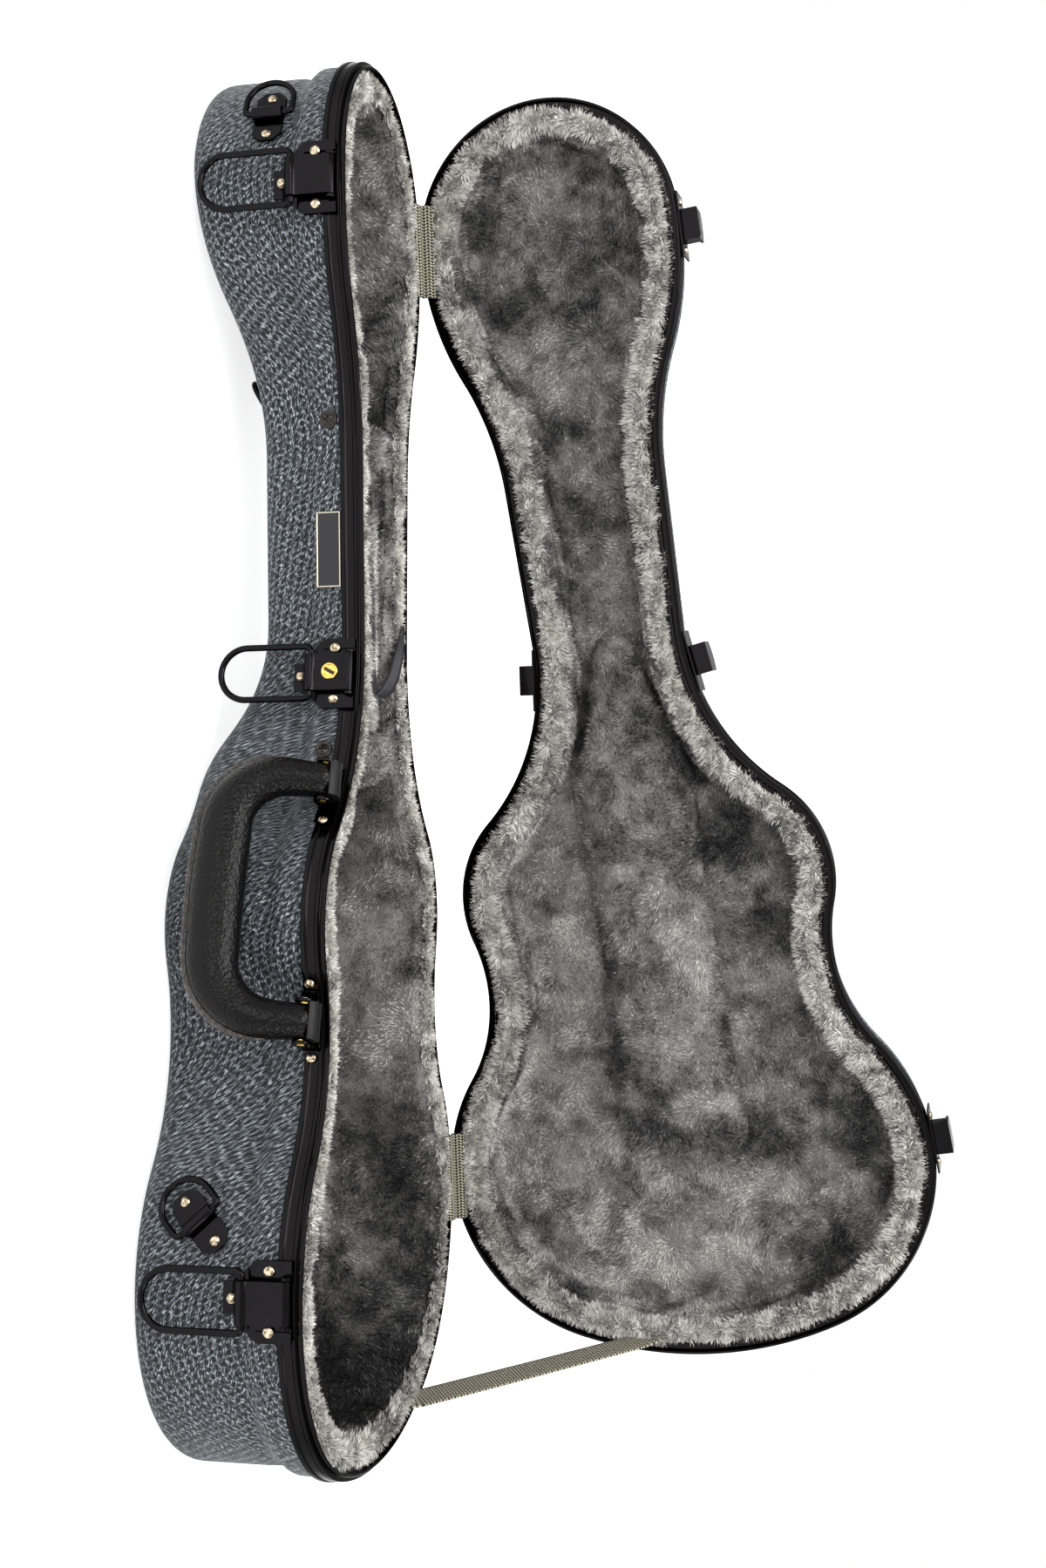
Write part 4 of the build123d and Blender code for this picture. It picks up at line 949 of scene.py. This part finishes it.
def herringbone():
    """Beads 1.7 mm apart in columns 1.9 mm wide, which slope up and down by turns, with painted
    shade between them.
    """
    mat = material("herringbone_webbing")
    uv = put(mat, "UVMap", uv_map="weave")
    xyz = put(mat, "SeparateXYZ", {0: uv}).node
    u, v = xyz.outputs[0], xyz.outputs[1]
    cols = calc(mat, "DIVIDE", v, 0.0019)
    col = calc(mat, "FLOOR", cols)
    x = calc(mat, "SUBTRACT", calc(mat, "FRACT", cols), 0.5)
    way = calc(mat, "MULTIPLY_ADD", calc(mat, "MODULO", calc(mat, "ABSOLUTE", col), 2.0), 2.0, -1.0)
    slope = calc(mat, "MULTIPLY", calc(mat, "MULTIPLY", x, way), 0.75)
    rows = calc(mat, "ADD", calc(mat, "DIVIDE", u, 0.0017), slope)
    y = calc(mat, "SUBTRACT", calc(mat, "FRACT", rows), 0.5)
    a, b = calc(mat, "DIVIDE", x, 0.5), calc(mat, "DIVIDE", y, 0.4)
    far = calc(mat, "ADD", calc(mat, "MULTIPLY", a, a), calc(mat, "MULTIPLY", b, b))
    knot = band(mat, far, 0.25, 1.05, 1.0, 0.0)
    fray = noise(mat, uv, 0.5, 2.0)
    # Painted shade in the gaps between the beads, darker and lighter by a 9 mm noise.
    gap_shade = noise(mat, uv, 9.0, 2.0)
    pale = mix(mat, fray, linear("#8D866F"), linear("#DDD6BF"))
    color = mix(mat, knot, mix(mat, gap_shade, linear("#14120D"), linear("#2C281F")), pale)
    return surface_of(mat, {"Base Color": color, "Roughness": 0.8, "Specular IOR Level": 0.25,
                            "Normal": bump(mat, knot, 0.5, 0.9), "Sheen Weight": 0.1})


WEBBING = herringbone()


def hinge_plane():
    """The lid hinge's point, its direction, the way into the case across it, and up."""
    hinge = joint("lid_hinge")
    spot, along = np.array(hinge["pos_m"]) / MM, np.array(hinge["axis"])
    return spot, along, np.array([along[1], -along[0], 0.0]), np.array([0, 0, 1.0])


def webbing_band(name, x):
    """Band on a smooth path across the hinge: up inside the base, over, and into the lid."""
    spot, along, inward, up = hinge_plane()
    centre = (x - spot[0]) / along[0]
    turn = np.array(hinge_turn(-LID_OPEN))[:3, :3]
    base = [(10.4, -14.0), (10.2, -6.0), (9.8, 1.2), (7.4, 3.4), (3.4, 3.6)]
    lid = [(3.2, -3.8), (7.0, -3.4), (9.8, -1.2), (10.2, 6.0), (10.4, 13.0)]
    path = [inward * r + up * h for r, h in base]
    path += [turn @ (inward * r + up * h) for r, h in lid]
    path = np.array([tuple(v) for v in rounded([Vector(v) for v in path], 3.0, 5)])
    reach = length_along(path)
    w = np.linspace(-25.5, 25.5, 18)
    grid = spot + path[:, None] + along * (centre + w)[None, :, None]
    uv = np.stack(np.broadcast_arrays(w[None, :], reach[:, None]), -1)
    return surface(name, grid, uv=uv)


for name, x in (("webbing_head", -471.0), ("webbing_tail", 58.7)):
    piece = dress(webbing_band(name, x), WEBBING)
    spot, along, inward, up = hinge_plane()
    thicken(piece, 1.2, 0.0)
    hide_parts(name.replace("webbing", "webbing_hinge"))
    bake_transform(piece)


# Stay: narrow webbing strap that holds the lid, with a half twist between its two anchors.

def stay_band():
    """Band between two anchors on the tail, sewn in 10 mm deep, with a sag of 4 mm."""
    p, n, _ = walk_outline(1.0)
    tail = p[:, 0] > 60
    p, n = p[tail], n[tail]

    def anchor(y, z):
        way = np.array([np.interp(-y, -p[:, 1], n[:, k]) for k in (0, 1)] + [0.0])
        spot = np.array([np.interp(-y, -p[:, 1], p[:, 0]), y, z]) - way * 8.3
        return spot, np.cross([0, 0, 1.0], way)

    low, low_way = anchor(47.0, BASE_TOP + 1.0)
    high, high_way = anchor(36.0, LID_BASE - 1.0)
    deep = np.array([0, 0, 10.0])
    foot, head, high = low - deep, opened(high + deep), opened(high)
    high_way = np.array(hinge_turn(-LID_OPEN))[:3, :3] @ high_way
    run = (high - low) / np.linalg.norm(high - low)
    sag = np.array([0.35, 0.0, -1.0]) * 4.0
    pts, ways = [foot, low], [low_way, low_way]
    for t in np.linspace(0, 1, 26)[1:-1]:
        turn = t * t * (3 - 2 * t)
        way = low_way * (1 - turn) + high_way * turn
        way -= run * way.dot(run)
        pts.append(low + (high - low) * t + sag * math.sin(math.pi * t))
        ways.append(way / np.linalg.norm(way))
    pts, ways = np.array(pts + [high, head]), np.array(ways + [high_way, high_way])
    w = np.linspace(-7.5, 7.5, 8)
    reach = length_along(pts)
    grid = pts[:, None] + ways[:, None] * w[None, :, None]
    uv = np.stack(np.broadcast_arrays(w[None, :], reach[:, None]), -1)
    return surface("stay_band", grid, uv=uv), low, high


stay, stay_low, stay_high = stay_band()
dress(stay, WEBBING)
thicken(stay, 1.1, 0.0)
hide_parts("stay_strap")
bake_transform(stay)


# Black lacquered fittings: the CAD plates, levers, strikes, brackets and ring plates keep their
# shape and get a fine bevel; the wires of bails and rings are round tubes of their own.

LACQUER = mottled("black_lacquer", 16.0, "#0E0D0E", "#181618", (0.1, 0.12), relief=(0.02, 0.3),
                  grain=2.2, Coat_Weight=0.1, **BLACK_METAL)
SATIN_BLACK = mottled("satin_black_metal", 9.0, "#050505", "#121011", (0.38, 0.15),
                      relief=(0.05, 0.3), Specular_IOR_Level=0.2)
black = [f"{kind}_{latch}" for kind in ("latch_plate", "latch_lever", "strike")
         for latch in ("head", "middle", "lower", "back")]
black += ["handle_bracket_head", "handle_bracket_tail", "handle_end_clips"]
black += ["strap_ring_plate_head", "strap_ring_plate_tail", "strap_ring_plate_back"]
for name in black:
    node = frame["nodes"][name]
    dress(node, SATIN_BLACK if name == "handle_end_clips" else LACQUER)
    weld = node.modifiers.new("weld", "WELD")
    weld.merge_threshold = 1e-6
    soft = node.modifiers.new("edges", "BEVEL")
    soft.width, soft.segments = 0.4 * MM, 3
    soft.limit_method, soft.angle_limit = "ANGLE", math.radians(35)


def wire(name, node, body, grid, closed):
    """Dresses a tube of wire and puts it in the place of its node."""
    piece = dress(joined(name, [grid], closed=closed), LACQUER)
    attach(piece, body)
    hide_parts(node)


LATCHES = {"head": (-456.5, -1), "middle": (-219.5, -1), "lower": (61.5, -1), "back": (-222.0, 1)}


def latch_frame(name):
    """Place of a latch from its packed bail joint: origin on the barrel, X along it, Y out."""
    swing = joint(f"latch_bail_{name}_swing")
    spot, axis = Vector(swing["pos_m"]) / MM, Vector(swing["axis"])
    up = Vector((0, 0, 1))
    out = up.cross(axis)
    return Matrix.Translation(spot) @ Matrix((axis, out, up)).transposed().to_4x4()


for name in LATCHES:
    at = latch_frame(name)
    path = [tuple(at @ Vector((x, 0, -down))) for x, down in d_shape(6.2, 13.15, 32.85, 3.0)]
    wire(f"bail_wire_{name}", f"latch_bail_{name}", f"bail_{name}",
         ends_closed(tube(path, 1.6)), (False, True))


RING_PLATES = {"head": (-495.5, 38.5, 0.0), "tail": (29.5, 47.5, 45.0)}
for name in ("head", "tail", "back"):
    swing = joint(f"strap_ring_{name}_swing")
    spot, side = Vector(swing["pos_m"]) / MM, Vector(swing["axis"])
    if name in RING_PLATES:
        x, drop, turn = RING_PLATES[name]
        way = wall(x, -1, 0, drop, turn).to_3x3() @ Vector((1, 0, 0))
    else:
        lo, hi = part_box("strap_ring_back")
        middle = (lo + hi) / 2 / MM
        way = (Vector((middle.x, 0, middle.z)) - spot).normalized()
    path = [tuple(spot + side * u + way * d) for u, d in d_shape(0.0, 12.0, 8.5, 3.5)[:-1]]
    wire(f"ring_wire_{name}", f"strap_ring_{name}", f"ring_{name}",
         tube(path, 1.5, closed=True), (True, True))


# Rivets: domed brass heads on the latch plates, brackets, ring plates and strikes.

def brass_tarnish_and_reflection():
    mat, spot = textured("brass_tarnish_and_reflection")
    # Dark patches, partly tarnish and partly painted dark reflection on the domes, from a 1.5 mm
    # noise; the same noise sets the roughness.
    tarnish_and_reflection = noise(mat, spot, 1.5, 3.0)
    pale_share = band(mat, tarnish_and_reflection, 0.3, 0.7)
    rough = calc(mat, "MULTIPLY_ADD", tarnish_and_reflection, 0.2, 0.16)
    return surface_of(mat, {"Base Color": mix(mat, pale_share, linear("#5A4C3C"), linear("#D8C8AE")),
                            "Metallic": 1.0, "Roughness": rough})


RIVET = brass_tarnish_and_reflection()
DOME = [(0.02, 1.25), (0.8, 1.18), (1.5, 0.95), (2.1, 0.55), (2.45, 0.1), (2.5, -0.3)]


def domes(name, body, places, scale=1.0, turned=False):
    """Rivet heads; a place given as a pair says how high its dome is against the usual one."""
    grids = []
    for at in places:
        at, rise = at if isinstance(at, tuple) else (at, scale)
        g = lathe([(r * scale, h * rise) for r, h in DOME], at, 18)
        grids.append(opened(g) if turned else g)
    piece = dress(joined(name, grids), RIVET)
    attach(piece, body)


def shift(matrix, x, y, z):
    return matrix @ Matrix.Translation((x, y, z))


plates = []
for name in LATCHES:
    at = latch_frame(name)
    for u, z in ((-12.7, 11.5), (12.7, 11.5)):
        plates.append((shift(at, u, -2.3, z), 0.45))
    plates.append(shift(at, 0.0, -6.9, -7.0))
domes("latch_rivets", "base", plates)
bracket_places = [wall(x, -1, 1.5, 5.0) for x in (-172.5, -146.1, -72.4, -38.2)]
domes("bracket_rivets", "base", bracket_places, 0.95)
ring_rivets = []
for x, drop, turn in RING_PLATES.values():
    at = wall(x, -1, 0.1 - 5.2, drop, turn)
    ring_rivets += [shift(at, u, 1.3, 0) for u in (-11.4, 11.4)]
domes("ring_plate_rivets", "base", ring_rivets)
strike_places = []
for name, (x, side) in LATCHES.items():
    at = wall(x, side, 0.1, 0.0)
    strike_places += [shift(at, u, 1.0, 10.5) for u in (-13.0, 13.0)]
domes("strike_rivets", "lid", strike_places, 0.95, turned=True)


# Screws: oval heads with a cross recess in cup washers, two on each side into the neck blocks.

STEEL = mottled("bronzed_screw", 1.0, "#171616", "#47423E", 0.3, Metallic=0.9)


def screw_head(at):
    """Polar grid, domed as 1 - (r / 2.9)^2, with a cross pressed into its middle."""
    radius, arm, half_slot, deep = 2.9, 1.9, 0.42, 0.9
    r, a = np.linspace(0.02, radius, 14), np.linspace(0, 2 * math.pi, 48, endpoint=False)
    rr, aa = np.meshgrid(r, a, indexing="ij")
    x, z = rr * np.cos(aa), rr * np.sin(aa)
    pressed = (np.minimum(np.abs(x), np.abs(z)) < half_slot) & (rr < arm)
    y = 1.0 * (1 - (rr / radius) ** 2) + 0.45 - deep * pressed
    return moved(np.stack([x, y, z], -1), at)


CUP = [(4.6, 0.0), (4.5, 0.45), (4.0, 0.85), (3.4, 0.75), (2.9, 0.35), (2.7, 0.1)]
screw_places = [wall(x, side, -1.4, 14.4) for x in (-346.5, -182.5) for side in (-1, 1)]
washers = dress(joined("cup_washers", [lathe(CUP, at, 28) for at in screw_places]), STEEL)
heads = sharpen(dress(joined("screw_heads", [screw_head(at) for at in screw_places]), STEEL), 40)
for piece in (washers, heads):
    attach(piece, "base")


# Lock plug and handle pins: bright brass. The pins keep their CAD shape; the plug is turned,
# with a rolled lip and a slot pressed across its sunk face.

BRASS = mottled("polished_brass", 0.9, "#B98A2E", "#F0D27A", (0.15, 0.2), Metallic=1.0)
dress(frame["nodes"]["handle_pins"], BRASS)


def lock_face():
    """Polar grid: flange with a rolled lip, sunk face and a slot across it at 29 degrees."""
    joint = next(j for j in frame["joints"] if j["name"] == "lock_plug_turn")
    spot, out = Vector(joint["pos_m"]) / MM, Vector(joint["axis"])
    up = Vector((0, 0, 1))
    at = Matrix.Translation(spot) @ Matrix((out.cross(up), out, up)).transposed().to_4x4()
    face = ((points_of(frame["nodes"]["lock_plug"]) - np.array(spot)) @ np.array(out)).max()
    radii = [0.02, 0.4, 0.8, 1.2, 1.6, 2.0, 2.3, 2.6, 2.9, 3.2, 3.6, 3.9, 4.1, 4.1, 3.4, 3.4]
    rise = [-0.35] * 9 + [0.0, 0.0, -0.1, -0.35, -1.0, -1.1, -3.4]
    a = np.linspace(0, 2 * math.pi, 72, endpoint=False)
    x, z = np.outer(radii, np.cos(a)), np.outer(radii, np.sin(a))
    tilt, half_slot, arm, inner_rings = math.radians(29.0), 0.75, 2.7, 8
    along = z * math.cos(tilt) - x * math.sin(tilt)
    aside = z * math.sin(tilt) + x * math.cos(tilt)
    sunk = (np.abs(aside) < half_slot) & (np.abs(along) < arm)
    sunk &= np.arange(len(radii))[:, None] < inner_rings
    y = face + np.array(rise)[:, None] - 0.9 * sunk
    piece = joined("lock_face", [moved(np.stack([x, y, z], -1), at)])
    piece.data.materials.append(BRASS)
    # The slot's sunk faces take the dark screw material: painted shade in the slot.
    piece.data.materials.append(STEEL)
    deep = sunk.reshape(-1)
    slots = [int(all(deep[v] for v in poly.vertices)) for poly in piece.data.polygons]
    piece.data.polygons.foreach_set("material_index", slots)
    return sharpen(piece)


lock = lock_face()
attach(lock, "lock")
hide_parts("lock_plug")


# Badge: a bare black plate with a thin pale border, glued to the collar.

def badge():
    """Rings of corners at half lengths, half widths and heights: a slab, and a frame on it."""
    at = wall(-282.0, -1, 0.1 - 1.5, 15.0)
    half, rise, width, lip, high, edge = 18.75, 6.2, 0.75, 0.12, 1.4, 0.1
    face = [(18.0, 5.45, 0.0), (18.0, 5.45, 1.0 - edge), (18.0 - edge, 5.45 - edge, 1.0),
            (0.01, 0.01, 1.0)]
    border = [(half - inset, rise - inset, y) for inset, y in
              ((0.0, 0.0), (0.0, high - lip), (lip, high), (width - lip, high),
               (width, high - lip), (width, 0.0))]
    eight = [(-1, -1), (0, -1), (1, -1), (1, 0), (1, 1), (0, 1), (-1, 1), (-1, 0)]

    def piece(name, rings, corners, mat):
        grid = np.array([[(a * u, y, b * v) for u, v in corners] for a, b, y in rings])
        return sharpen(dress(joined(name, [moved(grid, at)]), mat), 25)

    enamel = mottled("badge_enamel", 0.9, "#0C0B0D", "#201E22", 0.3, detail=2.0,
                     relief=(0.04, 0.4), Metallic=0.4)
    trim = mottled("badge_edge", 0.9, "#8C8678", "#C4BEAD", 0.35, detail=2.0,
                   relief=(0.04, 0.4), Metallic=1.0)
    return piece("badge_face", face, eight, enamel), piece("badge_border", border, eight[::2], trim)


badge_face, badge_border = badge()
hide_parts("badge_plate")
for piece in (badge_face, badge_border):
    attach(piece, "base")


# Handle: leather sewn round a core, thicker in the middle, with a stitched welt on the outside.

def leather():
    mat, spot = textured("black_leather")
    pebble = put(mat, "TexVoronoi", {"Vector": spot, "Scale": 620.0, "Randomness": 0.9},
                 out="Distance")
    crease = noise(mat, spot, 7.0, 3.0)
    fine = noise(mat, spot, 0.7, 2.0)
    color = mix(mat, crease, linear("#040303"), linear("#0C0A09"))
    height = calc(mat, "ADD", calc(mat, "MULTIPLY", pebble, 0.9), calc(mat, "MULTIPLY", fine, 0.3))
    rough = calc(mat, "MULTIPLY_ADD", fine, 0.2, 0.16)
    return surface_of(mat, {"Base Color": color, "Roughness": rough, "Specular IOR Level": 0.14,
                            "Normal": bump(mat, height, 0.4, 0.8)})


LEATHER = leather()


def handle_place():
    """The swing's point, its direction, down along the hanging handle, and across it."""
    swing = joint("handle_swing")
    along = -Vector(swing["axis"])
    out = Vector((along.y, -along.x, 0))
    lean = math.radians(21.0)
    down = out * math.sin(lean) + Vector((0, 0, -math.cos(lean)))
    return Vector(swing["pos_m"]) / MM, along, down, along.cross(down)


def handle_line(near, far, reach, bend, lift):
    """Centre line in the handle's plane: leg, quarter turn, bar, quarter turn, leg."""
    leg = [(near, y) for y in np.linspace(-2.0, reach - bend, 6)[:-1]]
    arc = [(near + bend * (1 - math.cos(a)), reach - bend * (1 - math.sin(a)))
           for a in np.linspace(0, math.pi / 2, 14)]
    half, span = leg + arc, far - near - 2 * bend
    bar = [(x, reach + lift * math.sin(math.pi * (x - near - bend) / span))
           for x in np.linspace(near + bend, far - bend, 18)[1:-1]]
    return half + bar + [(near + far - x, y) for x, y in reversed(half)]


def handle():
    """Grip along its centre line, a welt on its outer side and two rows of stitches on that."""
    spot, along, down, flank = handle_place()
    near, far = 1.4, 115.6
    line = handle_line(near, far, 43.0, 27.0, 0.8)

    def at(a, b, aside=0.0):
        return tuple(spot + along * a + down * b + flank * aside)

    pts = np.array([at(a, b) for a, b in line])
    reach = length_along(pts)
    places = [0, 0.06, 0.2, 0.34, 0.5, 0.66, 0.8, 0.94, 1]
    wide = [8.4, 8.6, 10.8, 12.3, 12.7, 12.3, 10.8, 8.6, 8.4]
    deep = [8.0, 8.4, 9.4, 10.3, 10.6, 10.3, 9.4, 8.4, 8.0]
    radius, thick = (np.interp(reach / reach[-1], places, sizes) for sizes in (wide, deep))
    flat = np.array(tuple(flank))
    rings = tube(pts, radius, 36)
    off = (rings - pts[:, None]) @ flat
    rings += off[:, :, None] * (thick / radius - 1)[:, None, None] * flat
    grip = joined("handle_leather", [ends_closed(rings)])

    middle = Vector(((near + far) / 2, 22.0))
    ridge, welt, start, stop = [], [], 5, len(line) - 6
    for k in range(start, stop + 1):
        (a0, b0), (a, b), (a1, b1) = line[k - 1:k + 2]
        run = Vector((a1 - a0, b1 - b0)).normalized()
        o = Vector((run.y, -run.x))
        if (Vector((a, b)) - middle).dot(o) < 0:
            o = -o
        r = radius[k]
        taper = min(1.0, (k - start + 0.6) / 5, (stop - k + 0.6) / 5)
        side = [(-1.2, 2.2), (0.3 * taper, 1.5), (1.5 * taper, 1.4), (1.8 * taper, 0.9)]
        section = side + [(q, -w) for q, w in reversed(side)]
        welt.append([at(a + o.x * (r + q), b + o.y * (r + q), w) for q, w in section])
        ridge.append((a, b, o, r, taper))
    seam = joined("handle_welt", [np.array(welt)], closed=(False, False))

    fine = []
    for (a0, b0, o0, r0, t0), (a1, b1, o1, r1, t1) in zip(ridge, ridge[1:]):
        count = max(1, round(math.dist((a0, b0), (a1, b1)) * 1.25 / 2.4))
        for f in (np.arange(count) + 0.5) / count:
            if t0 + (t1 - t0) * f < 0.75:
                continue
            o, q = o0.lerp(o1, f), r0 + (r1 - r0) * f + 0.8
            a, b = a0 + (a1 - a0) * f + o.x * q, b0 + (b1 - b0) * f + o.y * q
            for w in (1.0, -1.0):
                ends = [at(a - o.y * e, b + o.x * e, w * aside)
                        for e, aside in ((-0.75, 1.46), (0.0, 1.58), (0.75, 1.46))]
                fine.append(ends_closed(tube(ends, [0.2, 0.3, 0.2], 6)))
    return grip, seam, joined("handle_stitches", fine)


def raw_edge():
    """Cut edge of the leather, paler and rubbed."""
    mat, spot = textured("leather_edge")
    rub = noise(mat, spot, 2.2, 3.0, 0.6)
    color = mix(mat, band(mat, rub, 0.35, 0.7), linear("#0E0C0B"), linear("#564E48"))
    return surface_of(mat, {"Base Color": color, "Roughness": 0.5,
                            "Normal": bump(mat, rub, 0.5, 0.9)})


grip, welt, stitches = handle()
dress(grip, LEATHER)
dress(welt, raw_edge())
dress(stitches, mottled("black_thread", 0.4, "#2C2A29", "#5A5650", 0.6, detail=1.0))
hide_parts("handle_grip")
for piece in (grip, welt, stitches):
    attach(piece, "handle")


# Stage: pale floor, soft studio light with a white backdrop for the camera and for reflections,
# and the camera of the photograph.

def stage():
    floor_mat = material("studio_floor")
    ray = put(floor_mat, "LightPath", out="Is Camera Ray").node.outputs
    direct = calc(floor_mat, "MAXIMUM", ray["Is Camera Ray"],
                  calc(floor_mat, "MAXIMUM", ray["Is Glossy Ray"], ray["Is Transmission Ray"]))
    seen = calc(floor_mat, "MULTIPLY", direct, 0.75)
    pale = put(floor_mat, "BsdfPrincipled", {
        "Base Color": linear("#F6F6F6"), "Roughness": 0.9, "Specular IOR Level": 0.1,
        "Emission Color": linear("#FFFFFF"), "Emission Strength": seen})
    end = floor_mat.node_tree.nodes.new("ShaderNodeOutputMaterial")
    floor_mat.node_tree.links.new(pale, end.inputs["Surface"])
    mesh = bpy.data.meshes.new("floor")
    mesh.from_pydata([(-9, -9, 0), (9, -9, 0), (9, 9, 0), (-9, 9, 0)], [], [(0, 1, 2, 3)])
    floor = place("studio_floor", mesh)
    dress(floor, floor_mat)

    world = bpy.data.worlds.new("studio")
    bpy.context.scene.world = world
    world.use_nodes = True
    tree = world.node_tree
    tree.nodes.clear()
    path = tree.nodes.new("ShaderNodeLightPath")
    out = tree.nodes.new("ShaderNodeOutputWorld")

    def sky(strength):
        node = tree.nodes.new("ShaderNodeBackground")
        node.inputs["Color"].default_value = (1, 1, 1, 1)
        node.inputs["Strength"].default_value = strength
        return node

    last = sky(0.6)
    for ray in ("Is Glossy Ray", "Is Transmission Ray", "Is Camera Ray"):
        mixer = tree.nodes.new("ShaderNodeMixShader")
        tree.links.new(path.outputs[ray], mixer.inputs[0])
        tree.links.new(last.outputs[0], mixer.inputs[1])
        tree.links.new(sky(1.0).outputs[0], mixer.inputs[2])
        last = mixer
    tree.links.new(last.outputs[0], out.inputs["Surface"])

    for name, spot, aim, size, power in (
            ("overhead", (-0.55, -0.35, 1.5), (-0.18, 0.0, 0.1), 0.9, 20.0),
            ("spark", (-0.3, -0.9, 1.4), (-0.18, 0.0, 0.1), 0.1, 2.4),
            ("front", (-0.9, -1.7, 0.75), (-0.18, 0.0, 0.1), 0.9, 10.0),
            ("tail", (1.1, -1.0, 0.9), (-0.1, 0.0, 0.1), 0.5, 7.0)):
        lamp = bpy.data.lights.new(name, "AREA")
        lamp.size, lamp.energy = size, power
        obj = linked(name, lamp)
        obj.location = spot
        obj.rotation_euler = (Vector(aim) - Vector(spot)).to_track_quat("-Z", "Y").to_euler()

    camera = bpy.data.cameras.new("camera")
    camera.lens, camera.sensor_width = 38.69, 36.0
    eye = linked("camera", camera)
    right = Vector((0.00653, 0.19446, 0.98089)).normalized()
    ahead = Vector((-0.04158, 0.98011, -0.19403)).normalized()
    up = right.cross(ahead).normalized()
    right = ahead.cross(up).normalized()
    turn = Matrix((right, up, -ahead)).transposed().to_4x4()
    eye.matrix_world = Matrix.Translation((-0.1304, -0.8395, 0.3201)) @ turn
    camera.clip_start, camera.clip_end = 0.01, 50.0
    bpy.context.scene.camera = eye
    bpy.context.scene.view_settings.view_transform = "Standard"


stage()
